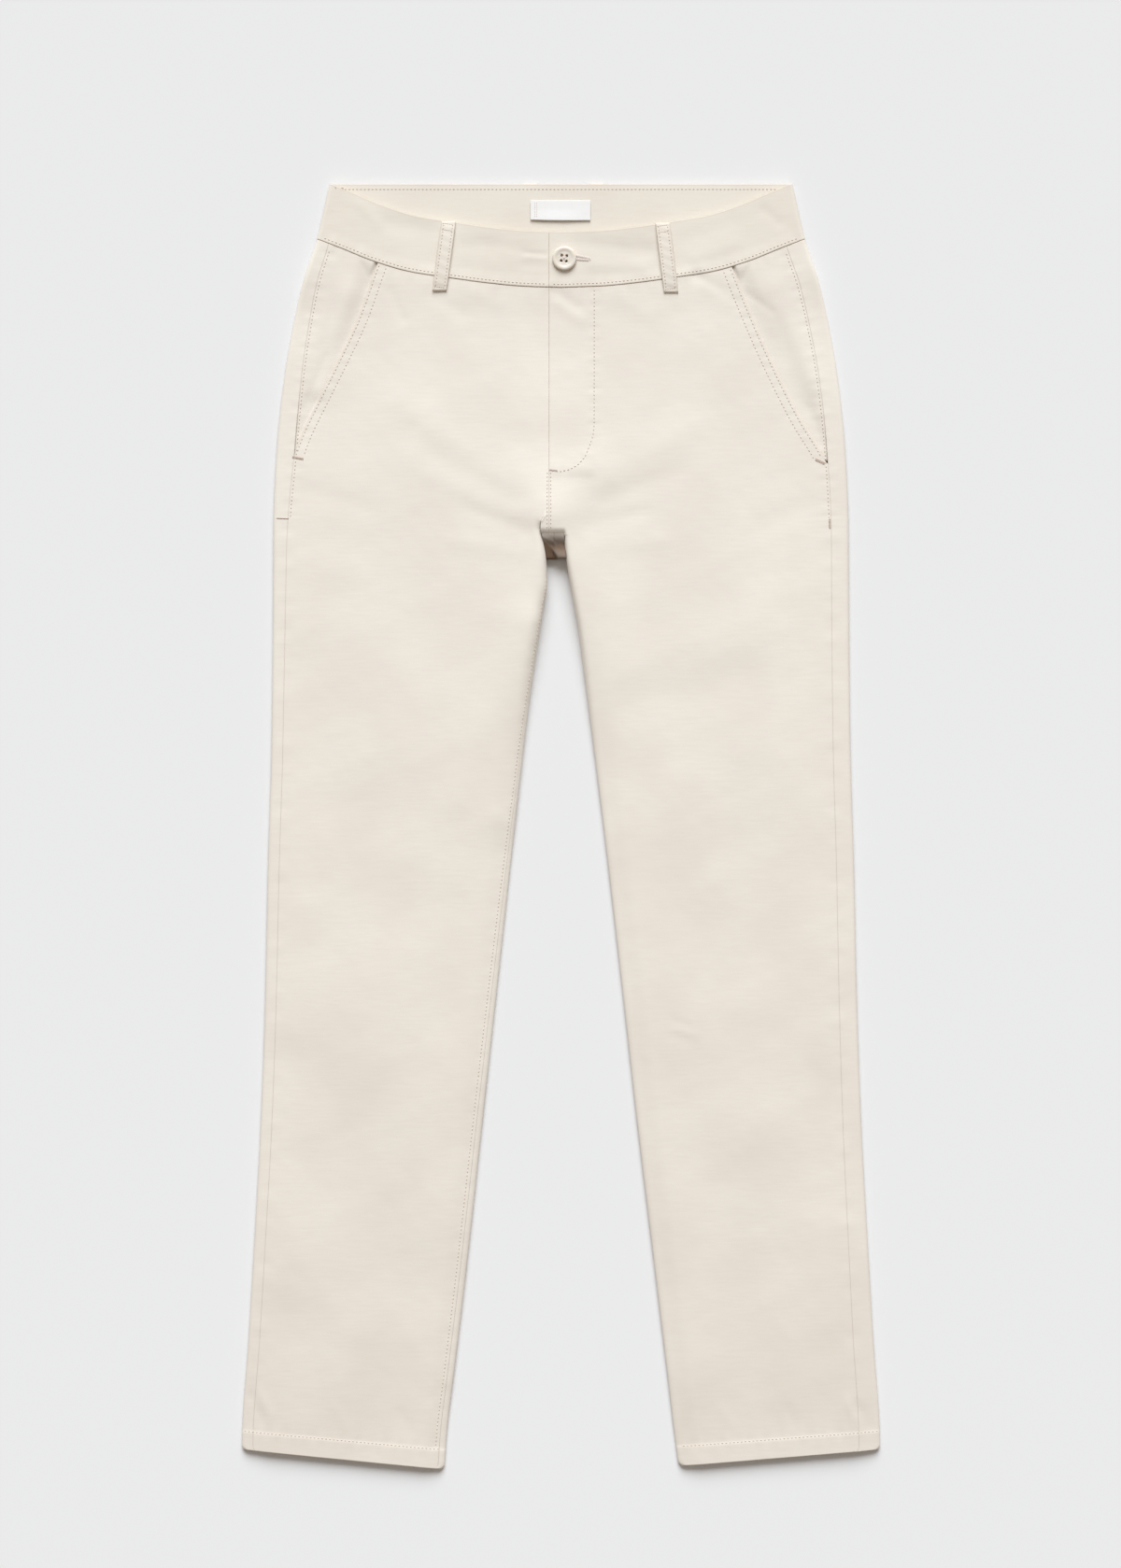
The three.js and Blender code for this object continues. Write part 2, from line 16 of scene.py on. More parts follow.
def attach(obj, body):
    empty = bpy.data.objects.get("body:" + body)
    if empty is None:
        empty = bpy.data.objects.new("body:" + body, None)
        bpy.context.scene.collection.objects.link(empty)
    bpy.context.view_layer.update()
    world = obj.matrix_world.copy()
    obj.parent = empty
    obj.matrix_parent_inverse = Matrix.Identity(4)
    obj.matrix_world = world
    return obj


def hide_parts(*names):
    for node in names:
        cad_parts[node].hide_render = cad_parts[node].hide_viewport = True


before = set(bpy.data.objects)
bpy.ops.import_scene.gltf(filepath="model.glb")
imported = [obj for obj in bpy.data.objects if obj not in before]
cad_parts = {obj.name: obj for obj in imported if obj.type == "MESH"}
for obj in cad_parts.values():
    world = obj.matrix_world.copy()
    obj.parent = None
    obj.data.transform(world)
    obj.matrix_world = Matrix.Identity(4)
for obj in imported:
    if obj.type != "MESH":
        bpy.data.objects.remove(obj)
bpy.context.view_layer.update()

MM = 0.001

# Cloth as it is shown, thinner than the solids' walls where it can be
CLOTH = 1.15
BAND_CLOTH = 1.9
LOOP_CLOTH = 1.15
SEAM_GAP = 0.03
CAD_CLOTH = 1.4
UNDERLAP_GAP = 0.5

# Heights and places along the garment, as in the solids
LEG_HEIGHT, BAND_HEIGHT, BAND_BASE, FOLD_DEPTH, FLY_RAISE, HEM_RAISE = 6.6, 7.2, 1.5, 3.3, 0.8, 0.4
WAIST_TOP_Y, WAIST_SEAM_Y, CROTCH_Y = 481.5, 440.0, 219.5
TONGUE_ROOT_Y, TONGUE_EDGE_Y = 203.5, 200.0
HEM_OUTER_Y, HEM_DEPTH, HEM_CORNER, FLY_END_Y = -467.5, 14.5, 3.5, 267.0
FRONT_CENTRE_X, FLY_WIDTH = -9.0, 34.0
BACK_WAIST_X, BACK_CROTCH_X = 2.0, -5.5

# y, half the width of the laid garment
OUTLINE = [(482, 173.5), (440, 183), (410, 193), (382, 199.5), (340, 207), (284, 213), (228, 215.5),
           (144, 216), (60, 217), (-24, 219.5), (-136, 222), (-220, 225), (-304, 229.5), (-388, 234.5),
           (-451, 239), (-468, 239.4)]
# share of the half width, how far the front of the waist dips below the back
WAIST_DIP = [(0, 36.5), (0.16, 35.4), (0.3, 33), (0.45, 29.3), (0.62, 24.5), (0.77, 16.5), (0.9, 7), (1, 0)]


def curve(rows):
    """A smooth curve through a table of (place, value), which never swings past its values."""
    at, to = np.array(sorted(rows), float).T
    slope = np.diff(to) / np.diff(at)
    before, after = slope[:-1], slope[1:]
    both = np.where(before * after > 0, before + after, 1)
    middle = np.where(before * after > 0, 2 * before * after / both, 0)
    tangent = np.concatenate([slope[:1], middle, slope[-1:]])

    def value(x):
        x = np.asarray(x, float)
        i = np.clip(np.searchsorted(at, x) - 1, 0, len(at) - 2)
        width = at[i + 1] - at[i]
        t = np.clip((x - at[i]) / width, 0, 1)
        inside = ((2 * t**3 - 3 * t**2 + 1) * to[i] + (t**3 - 2 * t**2 + t) * width * tangent[i]
                  + (3 * t**2 - 2 * t**3) * to[i + 1] + (t**3 - t**2) * width * tangent[i + 1])
        return inside + tangent[0] * np.minimum(x - at[0], 0) + tangent[-1] * np.maximum(x - at[-1], 0)

    return value


class Side:
    """One half of the garment: its inner edge, seams and pocket mouth."""

    def __init__(self, sign, hem_drop, inner, side_in, inseam_in, roll, pocket):
        self.sign, self.hem_drop = sign, hem_drop
        self.inner_x, self.side_in, self.inseam_in = curve(inner), curve(side_in), curve(inseam_in)
        self.roll_depth, self.pocket_x, self.pocket_end_y = curve(roll), curve(pocket), pocket[-1][0]


RIGHT = Side(
    -1, 14.5,
    # y, x of the leg's inner edge
    inner=[(219.5, -14.5), (200, -11), (182, -10.3), (165, -13), (130, -18.5), (88, -24.5), (4, -34.3),
           (-108, -46.6), (-220, -58.8), (-332, -71), (-416, -81), (-452, -85.4), (-482, -87.5)],
    # y, how far in from the fold the seam runs
    side_in=[(440, 9), (290, 13.5), (205, 10), (60, 8.6), (-468, 8.4)],
    inseam_in=[(440, 1), (290, 3), (205, 1), (60, 5.4), (-468, 6.6)],
    # y, how far in the inner fold takes to round over to the top
    roll=[(219.5, 5), (190, 8), (130, 10), (60, 8.5), (4, 6.5), (-108, 4.5), (-220, 3.6), (-468, 3.3)],
    # y, x of the pocket mouth
    pocket=[(430, -134), (421.5, -137.5), (380.5, -152.3), (348, -167.6), (322, -180.6), (294.5, -194),
            (277, -200.5)],
)
LEFT = Side(
    1, 12,
    inner=[(219.5, 1.9), (200, 3.9), (171, 8.8), (151.5, 12.4), (116, 17.2), (60, 24.5), (4, 31.5),
           (-108, 44.5), (-220, 57), (-332, 70.4), (-416, 80.5), (-452, 84.7), (-482, 88.6)],
    side_in=[(440, 14), (290, 13.8), (217.5, 13), (205, 13), (-130, 13.4), (-468, 16)],
    inseam_in=[(440, 3), (290, 3), (217.5, 2.5), (205, -1.5), (-130, -1.5), (-468, -1.5)],
    roll=[(219.5, 4), (150, 5), (60, 4.2), (-108, 3.5), (-468, 3.3)],
    pocket=[(430, 124), (418, 128.5), (367, 149.5), (333.5, 165), (304.5, 180), (280, 195), (273, 198.5)],
)
SIDES = {"right": RIGHT, "left": LEFT}

# The solids' own folds: x and y of both ends, half width, height
FOLDS = [
    (-14, 228, -22, 160, 27, 5.4), (-24, 150, -44, 10, 20, 1.8), (2, 230, 16, 165, 25, 4.4),
    (-158, 398, -181, 330, 11, 0.9), (160, 400, 186, 335, 12, 0.8), (-150, 250, -60, 330, 30, 0.6),
    (60, 380, 110, 300, 24, -0.6), (-140, -120, -110, -190, 34, 0.8), (85, -40, 130, -150, 30, -0.7),
    (-190, -260, -130, -330, 32, -0.7), (150, -230, 190, -330, 30, 0.6), (-112, 445, -100, 428, 16, -0.7),
    (60, 432, 44, 420, 14, -0.5),
]

# The folds beside the crotch thin out down the thighs: x and y where they do, lean, half width, height
FOLD_TAILS = [(-22, 160, -0.14, 27, 5.0), (16, 165, 0.16, 25, 4.0)]

# Creases listed for the front: x and y of both ends, half width, height
CREASES = [
    # the band: pulls beside the button, the soft hollow past the buttonhole, and slack near the loops
    (-60, 438, -30, 432.5, 5, -0.22), (-27, 430, -12, 428.4, 2, -0.24), (-26, 426, -12, 425.5, 2.4, 0.16),
    (-30, 421, -12, 419.5, 3, -0.12),
    (14, 437, 66, 431, 6.5, -0.5), (24, 421, 60, 419, 5, 0.3), (-128, 452, -98, 447, 7, -0.35),
    (-75, 436, -52, 432, 6, -0.25), (96, 440, 128, 452, 8, -0.25), (100, 426, 130, 437, 5, 0.2),
    (-150, 466, -138, 452, 5, 0.25), (152, 462, 163, 452, 4, -0.3), (88, 412, 104, 418, 4, 0.25),
    # just under the band
    (101, 413, 133, 392, 4.5, -0.5), (108, 405, 138, 389, 4, 0.3), (-7, 401, 12, 389, 4.5, -0.4),
    (-2, 392, 16, 380, 5, 0.3), (-96, 399, -74, 384, 6, -0.3), (-70, 402, -48, 392, 7, 0.25),
    (40, 398, 66, 384, 7, 0.25), (-128, 401, -118, 380, 4, -0.3),
    # pocket mouths and facings
    (-146, 402, -166, 356, 6, -0.16), (-160, 394, -184, 330, 8, 0.2), (-184, 316, -192, 292, 5, -0.4),
    (-176, 352, -190, 318, 3.5, -0.3), (150, 398, 172, 352, 6, -0.14), (165, 388, 188, 330, 8, 0.16),
    (186, 314, 196, 290, 4, -0.35), (140, 399, 158, 386, 3, -0.3),
    # hip and thigh, pulling towards the crotch
    (-120, 318, -60, 268, 13, 0.45), (-110, 292, -40, 246, 10, -0.35), (-96, 262, -34, 236, 8, 0.3),
    (-70, 238, -26, 222, 6, -0.3), (40, 262, 100, 300, 12, 0.4), (30, 244, 88, 264, 9, -0.35),
    (20, 226, 60, 236, 6, -0.28), (26, 210, 74, 214, 8, 0.25), (-30, 206, -80, 214, 7, 0.25),
    (-190, 252, -150, 240, 9, -0.3), (186, 240, 150, 226, 10, -0.3), (-200, 200, -150, 190, 12, 0.3),
    (196, 186, 150, 170, 12, 0.3), (-110, 60, -80, 20, 20, 0.2),
    (-150, 140, -130, 60, 22, 0.45), (150, 150, 140, 60, 24, 0.4), (-60, 80, -78, 20, 12, 0.3),
    # the thick crotch seam spreads into the rise; the rim of the hook stands up
    (-8, 266, -8, 300, 36, 2.0), (-10, 229, 2, 229, 26, -1.8), (-24, 262, 24, 266, 22, 1.5),
    (-11.8, 232.4, -14.6, 228.6, 0.9, 0.4), (-14.6, 228.6, -14.8, 221, 0.9, 0.7),
    # knees and shins
    (-196, 120, -176, 20, 20, -0.7), (-96, 96, -112, -20, 24, 0.8), (-150, 10, -168, -90, 26, -0.7),
    (-118, -100, -140, -170, 26, 0.7), (-196, -60, -204, -150, 15, 0.5), (-78, -60, -84, -150, 13, -0.5),
    (-186, -190, -160, -240, 22, -0.7), (-110, -220, -104, -300, 20, 0.6), (-208, -270, -212, -340, 15, 0.5),
    (-160, -300, -150, -370, 24, 0.6), (-112, -350, -120, -410, 18, -0.5), (-200, -370, -186, -430, 16, -0.5),
    (60, 120, 150, 150, 20, 0.55), (50, 92, 140, 112, 16, -0.5), (150, 60, 190, 20, 24, 0.5),
    (90, 30, 110, -40, 20, 0.5), (140, -20, 150, -90, 26, -0.8), (96, -96, 108, -160, 18, 0.5),
    (186, -60, 194, -150, 18, 0.5), (140, -140, 146, -220, 24, 0.6), (88, -190, 96, -250, 15, -0.5),
    (196, -200, 184, -270, 18, -0.5), (120, -270, 140, -340, 22, -0.6), (206, -300, 200, -370, 14, 0.5),
    (164, -360, 170, -420, 22, 0.5), (104, -340, 108, -410, 14, 0.4),
    (84, -146, 96, -150, 2.4, -0.3), (88, -151, 102, -156, 2.2, 0.25), (82, -157, 94, -161, 2.4, -0.25),
    # above the hems
    (-232, -428, -224, -446, 3.5, -0.4), (-226, -424, -217, -442, 3, 0.3), (222, -432, 230, -448, 3.5, -0.4),
    (214, -430, 220, -446, 3, 0.3), (-170, -436, -160, -450, 4, 0.2), (-120, -440, -112, -452, 4, -0.2),
    (120, -436, 130, -450, 4, 0.2), (170, -438, 176, -450, 4, -0.22), (-98, -436, -94, -454, 4, 0.25),
    (98, -436, 95, -452, 4, -0.2),
]

# The crotch between the legs: seams that cross there, the low and the raised part of its fold, and y, x of
# the line that parts them
NOOK_CREASES = [(-16, 218, 1, 209, 1.0, 0.5), (-12, 221, -2, 211, 0.7, -0.4), (-9, 219, -1, 203, 0.8, 0.4)]
LOW_RIM, HIGH_RIM = 3.6, 5.6
RIM_PARTS = [(196, -0.4), (200, -2.3), (207, -6.4), (216, -15), (222, -21)]
# y, x of the free edge that hooks up into the right thigh beside the crotch
HOOK = [(219.5, -15.0), (223, -15.6), (227.3, -15.4), (230, -14.4), (232.3, -12.9)]

# How far a sewn edge and the band's rounds off, against a folded one, and how far the painted shade beside it
# reaches
SEAM_EASE, BAND_EASE, FOLD_EASE = 0.13, 0.5, 0.9
SHADE_REACH = 1.1
# How much lower the cloth lies at the legs' outer and inner folds and at the hems
OUTER_DROP, INNER_DROP, HEM_SINK = 1.7, 2.0, 1.3
# The length over which the folds beside the crotch thin out
TAIL_LENGTH = 130
# The crotch: how far its fold rolls in, how far under the front it ends, how late it rises, how softly its
# two parts meet, and the valley across its raised part
NOOK_ROLL, UNDER_FRONT, LATE_RISE, PART_BLUR = 1.7, 0.7, 1.7, 0.7
VALLEY_Y, VALLEY_WIDTH, VALLEY_DEPTH = 210.5, 4.5, 3.2
# Stitch rows inside the lower and the upper edge of the band
BAND_ROW, BAND_TOP_ROW = 2.7, 3.5

half_width = curve(OUTLINE)
hook_x = curve(HOOK)
parting_x = curve(RIM_PARTS)
dip_at = curve(WAIST_DIP)


def smooth(x, low, high):
    t = np.clip((np.asarray(x, float) - low) / (high - low), 0, 1)
    return t * t * (3 - 2 * t)


def lerp(a, b, t):
    return a + (b - a) * t


def bumps(x, y, table):
    """The height at each place of the ridges and troughs in a table."""
    height = np.zeros(np.broadcast(x, y).shape)
    for ax, ay, bx, by, width, size in table:
        ux, uy = bx - ax, by - ay
        along = np.clip(((x - ax) * ux + (y - ay) * uy) / (ux * ux + uy * uy), 0, 1)
        away = ((x - ax - along * ux) ** 2 + (y - ay - along * uy) ** 2) / width**2
        height += size * np.exp(-away)
    return height


RIPPLES = np.random.RandomState(11)
RIPPLE_TABLE = [[RIPPLES.uniform(*span) for span in ((0, 2 * math.pi), (11, 42), (0, 2 * math.pi))]
                for _ in range(16)]


def ripple(x, y):
    """Slight unevenness of the lying cloth."""
    height = 0
    for heading, length, phase in RIPPLE_TABLE:
        wave = (x * math.cos(heading) + y * math.sin(heading)) * 2 * math.pi / length + phase
        height = height + np.sin(wave + 0.8 * np.sin(0.021 * y + phase)) * length / 42
    return height * 0.02


def base_height(y):
    return BAND_BASE * smooth(y, 404, 428)


def edge_drop(side, x, y):
    """How far the cloth lies lower beside the folds of the legs and at the hems."""
    outer = (1 - smooth(half_width(y) - np.abs(x), 0, 24)) * (1 - smooth(y, 385, 420))
    inner = (1 - smooth((x - side.inner_x(y)) * side.sign, 0, 18)) * smooth(-y, -190, 60)
    return OUTER_DROP * outer + INNER_DROP * inner + HEM_SINK * (1 - smooth(y, -470, -400))


def top_height(side, x, y):
    """Height of the solids' outer surface on the front."""
    fly = (1 - smooth(x, FRONT_CENTRE_X + FLY_WIDTH - 4, FRONT_CENTRE_X + FLY_WIDTH + 4)
           if side.sign > 0 else 0)
    band = lerp(LEG_HEIGHT, BAND_HEIGHT, smooth(y, 380, 415)) - edge_drop(side, x, y)
    return band + bumps(x, y, FOLDS) + FLY_RAISE * fly * smooth(y, FLY_END_Y - 8, FLY_END_Y + 2)


class Row:
    """Rows across one side: level above the crotch, and dropping to the inner edge down the leg.
    The corners at the hems are rounded, and the hems' doubled cloth stands a little higher."""

    def __init__(self, side, y):
        self.side, self.y = side, np.asarray(y, float)
        self.outer_x = side.sign * half_width(self.y)
        drop = side.hem_drop * np.maximum(CROTCH_Y - self.y, 0) / (CROTCH_Y - HEM_OUTER_Y)
        self.inner_y = self.y - drop
        self.inner_x = side.inner_x(self.inner_y)
        self.fade = smooth(self.y, 250, WAIST_SEAM_Y)
        past = np.clip(HEM_CORNER - (self.y - HEM_OUTER_Y), 0, HEM_CORNER)
        corner = HEM_CORNER - np.sqrt(np.maximum(0, HEM_CORNER**2 - past**2))
        self.outer_x, self.inner_x = self.outer_x - side.sign * corner, self.inner_x + side.sign * corner
        self.hem = HEM_RAISE * (1 - smooth(self.y, HEM_OUTER_Y + HEM_DEPTH - 1.4,
                                           HEM_OUTER_Y + HEM_DEPTH + 1.6))

    def line_y(self, x):
        return lerp(self.y, self.inner_y, (x - self.outer_x) / (self.inner_x - self.outer_x))

    def front_y(self, x):
        return self.line_y(x) - dip_at(np.minimum(1, np.abs(x) / half_width(self.y))) * self.fade


QUARTER = FOLD_DEPTH * math.pi / 2


def fold_point(row, outer, measure):
    """Places on the fold at a row's edge: over the top where measure is positive, else down and under."""
    side = row.side
    measure = np.asarray(measure, float)
    over = measure > 0
    reach = np.where(over, FOLD_DEPTH if outer else side.roll_depth(row.y), FOLD_DEPTH)
    quarter = reach * math.pi / 2
    edge_x = row.outer_x if outer else row.inner_x
    inward = -side.sign if outer else side.sign
    angle = np.minimum(1, np.abs(measure) / quarter) * math.pi / 2
    x = edge_x + inward * (reach * (1 - np.cos(angle)) + np.maximum(0, np.abs(measure) - quarter))
    y = np.where(over, row.front_y(x), row.line_y(x))
    base, top = base_height(row.y), top_height(side, x, y) + row.hem
    middle = (base + top) / 2
    turn = np.where(over, np.sin(angle), -np.sin(angle))
    return np.stack(np.broadcast_arrays(x, y, middle + (top - middle) * turn), -1), np.maximum(turn, 0)


def spaced(length, start, end, count):
    """Distances along a path of each row's length: close together near both ends, as listed."""
    start, end = np.array(start, float), np.array(end, float)
    inside = np.linspace(0, 1, count + 2)[1:-1]
    length = np.asarray(length, float).reshape(-1, 1)
    middle = start[-1] + (length - end[-1] - start[-1]) * inside
    return np.concatenate([start + 0 * length, middle, length - end[::-1]], 1)


def front_outer_x(side, y, inset):
    """The front panel's outer border: the side seam, or the pocket mouth above the pocket's end."""
    row = Row(side, y)
    seam = row.outer_x - side.sign * (side.side_in(y) + inset)
    x = seam.copy()
    for _ in range(14):
        x = side.pocket_x(row.front_y(x))
    mouth = np.minimum(x, seam) if side.sign > 0 else np.maximum(x, seam)
    return np.where(y <= side.pocket_end_y, seam, mouth)


def back_centre_x(y):
    return lerp(BACK_CROTCH_X, BACK_WAIST_X, (y - TONGUE_ROOT_Y) / (WAIST_SEAM_Y - TONGUE_ROOT_Y))


# Rows of the panels, as heights at the outer edge, closer together at the seams, the crotch and the hem
NEAR_SEAM = [0, 0.3, 0.65, 1.1, 1.8, 2.6, 3.6, 4.8]
PANEL_ROWS = np.concatenate([
    WAIST_SEAM_Y - np.array(NEAR_SEAM), np.arange(433.5, 234, -2.1), np.arange(233.2, 223, -0.9),
    np.arange(222.8, 220, -0.45),
    [219.9, 219.6, 219.3, 219, 218.7, 218.4, 218.1, 217.8, 217.5, 217, 216.2, 215, 213.6, 212, 210, 208,
     205.8, 203.5],
    np.arange(201, 130, -2.3), np.arange(128, -446, -3.3),
    [-448.5, -450.5, -451.8, -452.5, -453, -453.5, -454.2, -455.4, -457.2],
    HEM_OUTER_Y + np.array([8.2, 6.2, 4.4, 3, 2, 1.1, 0.6, 0.3, 0]),
])


# Stitching

class Seam:
    """A sewn line on the cloth: where it runs, and how the cloth gathers along it."""

    def __init__(self, name, points, above=True, dent=0.04, pucker=0.0, wave=9.0, reach=6.0, stitched=True):
        self.name, self.above, self.stitched = name, above, stitched
        self.dent, self.pucker, self.wave, self.reach = dent, pucker, wave, reach
        points = np.array(points, float)
        steps = np.concatenate([[0], np.cumsum(np.linalg.norm(np.diff(points, axis=0), axis=1))])
        self.length = steps[-1]
        at = np.linspace(0, self.length, max(2, int(self.length / 0.6)))
        self.samples = np.stack([np.interp(at, steps, points[:, 0]), np.interp(at, steps, points[:, 1])], 1)
        self.at = at

    def place(self, distance):
        return np.array([np.interp(distance, self.at, self.samples[:, axis]) for axis in (0, 1)])


def offset_line(points, distance):
    """The line beside another, on the side that lies 90 degrees to the left of its direction."""
    points = np.array(points, float)
    tangent = np.gradient(points, axis=0)
    tangent /= np.linalg.norm(tangent, axis=1, keepdims=True)
    return points + distance * np.stack([-tangent[:, 1], tangent[:, 0]], 1)


def band_y(x, y):
    """The height on the page of a line along the band, which dips with the front of the waist."""
    return y - dip_at(np.minimum(1, np.abs(x) / half_width(y)))


def seam_lines():
    lines = []
    below = {"above": False, "dent": 0.0}

    def add(name, x, y, **how):
        lines.append(Seam(name, np.stack([x, y + 0 * x], 1), **how))

    for name, side in SIDES.items():
        s = side.sign
        # along the lower edge of the band, and the waist seam itself, which gathers the panel below it
        x = np.linspace(FRONT_CENTRE_X + s * 2.5, s * 178, 120)
        add(f"band_{name}", x, band_y(x, WAIST_SEAM_Y + BAND_ROW), pucker=0.09, wave=7)
        x = np.linspace(FRONT_CENTRE_X, s * 181, 120)
        add(f"waist_{name}", x, band_y(x, WAIST_SEAM_Y - 1.2), dent=0.0, pucker=0.1, wave=13, reach=8,
            stitched=False)
        # side seam, topstitched beside it down to its bartack, plain below
        y = np.linspace(436, 229 if s < 0 else 224, 80)
        row = Row(side, y)
        x = row.outer_x - s * (side.side_in(y) + 1.7)
        add(f"side_top_{name}", x, row.front_y(x), pucker=0.13, wave=9, reach=8)
        y = np.linspace(228, -452, 200)
        row = Row(side, y)
        x = row.outer_x - s * side.side_in(y)
        add(f"side_low_{name}", x, row.front_y(x), dent=0.0, pucker=0.12, wave=19, reach=8, stitched=False)
        # pocket mouth: two rows inside its edge
        y = np.linspace(WAIST_SEAM_Y - 0.5, side.pocket_end_y + 4, 90)
        x = front_outer_x(side, y, 0)
        mouth = np.stack([x, Row(side, y).front_y(x)], 1)
        for inside, dent in ((1.6, 0.03), (7.1, 0.05)):
            line = offset_line(mouth, -inside * s)
            lines.append(Seam(f"pocket_{name}_{inside:.0f}", line, dent=dent, pucker=0.1, wave=8, reach=4))
        # hem
        outer_x, inner_x = half_width(-453.0) * s - s * 1.0, side.inner_x(-453.0 - side.hem_drop) + s * 1.4
        x = lerp(outer_x, inner_x, np.linspace(0, 1, 60))
        row = Row(side, np.full(60, HEM_OUTER_Y + HEM_DEPTH))
        add(f"hem_{name}", x, row.line_y(x), dent=0.08, pucker=0.14, wave=11, reach=5)
        add(f"hem_under_{name}", x, row.line_y(x), **below)
        # the back band's edges, on the under side
        x = np.linspace(BACK_WAIST_X + s * 2, s * 176, 90)
        add(f"back_band_low_{name}", x, WAIST_SEAM_Y + BAND_ROW, **below)
        x = np.linspace(BACK_WAIST_X + s * 2, s * 168, 90)
        add(f"back_band_top_{name}", x, WAIST_TOP_Y - BAND_TOP_ROW, **below)
    # the back band's inside, seen above the front
    x = np.linspace(-163, 163, 120)
    add("band_inside", x, WAIST_TOP_Y - BAND_TOP_ROW, dent=0.03, pucker=0.05, wave=7, reach=3)
    # the fly
    fly = [(24.9, 403), (24.9, 340), (24.8, 301), (24, 293), (21.7, 286), (18.3, 277.5), (13, 271),
           (6.5, 267.3), (-1, 265.6), (-8, 266.4)]
    lines.append(Seam("fly_j", fly, dent=0.05, pucker=0.12, wave=9, reach=5))
    for name, xs in (("left", (-7.7, -7.6, -7.6)), ("right", (-10.2, -10.3, -10.4))):
        lines.append(Seam(f"crotch_seam_{name}", list(zip(xs, (266, 240, 222))), dent=0.05, pucker=0.05,
                          wave=7, reach=3))
    # the right leg's inseam shows on top of its fold, topstitched beside it
    y = np.linspace(186, -452, 220)
    row = Row(RIGHT, y)
    for beside, stitched in ((0.0, False), (2.6, True)):
        point = fold_point(row, False, RIGHT.inseam_in(y) + 0.2 + beside)[0]
        lines.append(Seam(f"inseam_right_{beside:.0f}", point[:, :2], dent=0.04 if stitched else 0,
                          pucker=0.08, wave=14, reach=5, stitched=stitched))
    y = np.linspace(432, 212, 90)
    x = back_centre_x(y)
    for beside in (-1.6, 1.6):
        add(f"seat_{beside:.0f}", x + beside, y, **below)
    return lines


SEAMS = seam_lines()


class SeamIndex:
    """Finds the sewn lines near a place, to dent and gather the cloth there."""

    def __init__(self, seams):
        self.seams = [s for s in seams if s.above]
        self.tree = KDTree(sum(len(s.samples) for s in self.seams))
        self.which = []
        for number, seam in enumerate(self.seams):
            for place, at in zip(seam.samples, seam.at):
                self.tree.insert((place[0], place[1], 0), len(self.which))
                self.which.append((number, at))
        self.tree.balance()

    def relief(self, x, y):
        height = np.zeros(len(x))
        for i, (px, py) in enumerate(zip(x, y)):
            found = {}
            for _, index, distance in self.tree.find_range((px, py, 0), 9.5):
                number, at = self.which[index]
                if number not in found or distance < found[number][0]:
                    found[number] = (distance, at)
            for number, (distance, at) in found.items():
                seam = self.seams[number]
                if seam.dent:
                    height[i] -= seam.dent * math.exp(-(distance / 0.75) ** 2)
                if seam.pucker:
                    w = 2 * math.pi / seam.wave
                    wave = math.sin(w * at + number) + 0.7 * math.sin(0.61 * w * at + 2 * number)
                    wave += 0.5 * math.sin(1.73 * w * at + 1.3)
                    height[i] += seam.pucker * 0.6 * wave * math.exp(-(distance / seam.reach) ** 2 * 1.6)
        return height


INDEX = SeamIndex(SEAMS)


def fold_tails(x, y):
    """What the cloth adds to the ends of the two folds, so that they fade over a hand's width."""
    height = 0
    for end_x, end_y, lean, width, size in FOLD_TAILS:
        past = np.maximum(end_y - y, 0)
        across = np.exp(-((x - end_x - lean * past) / width) ** 2)
        height = height + size * across * (1 - smooth(past, 0, TAIL_LENGTH) - np.exp(-(past / width) ** 2))
    return height


def relief(points, weight):
    """How far the cloth's surface stands out from its solid's, at places on the front."""
    x, y = points[..., 0], points[..., 1]
    height = bumps(x, y, CREASES) + fold_tails(x, y) + ripple(x, y)
    flat = INDEX.relief(x.ravel(), y.ravel()).reshape(x.shape)
    return (height + flat) * weight


# Meshes

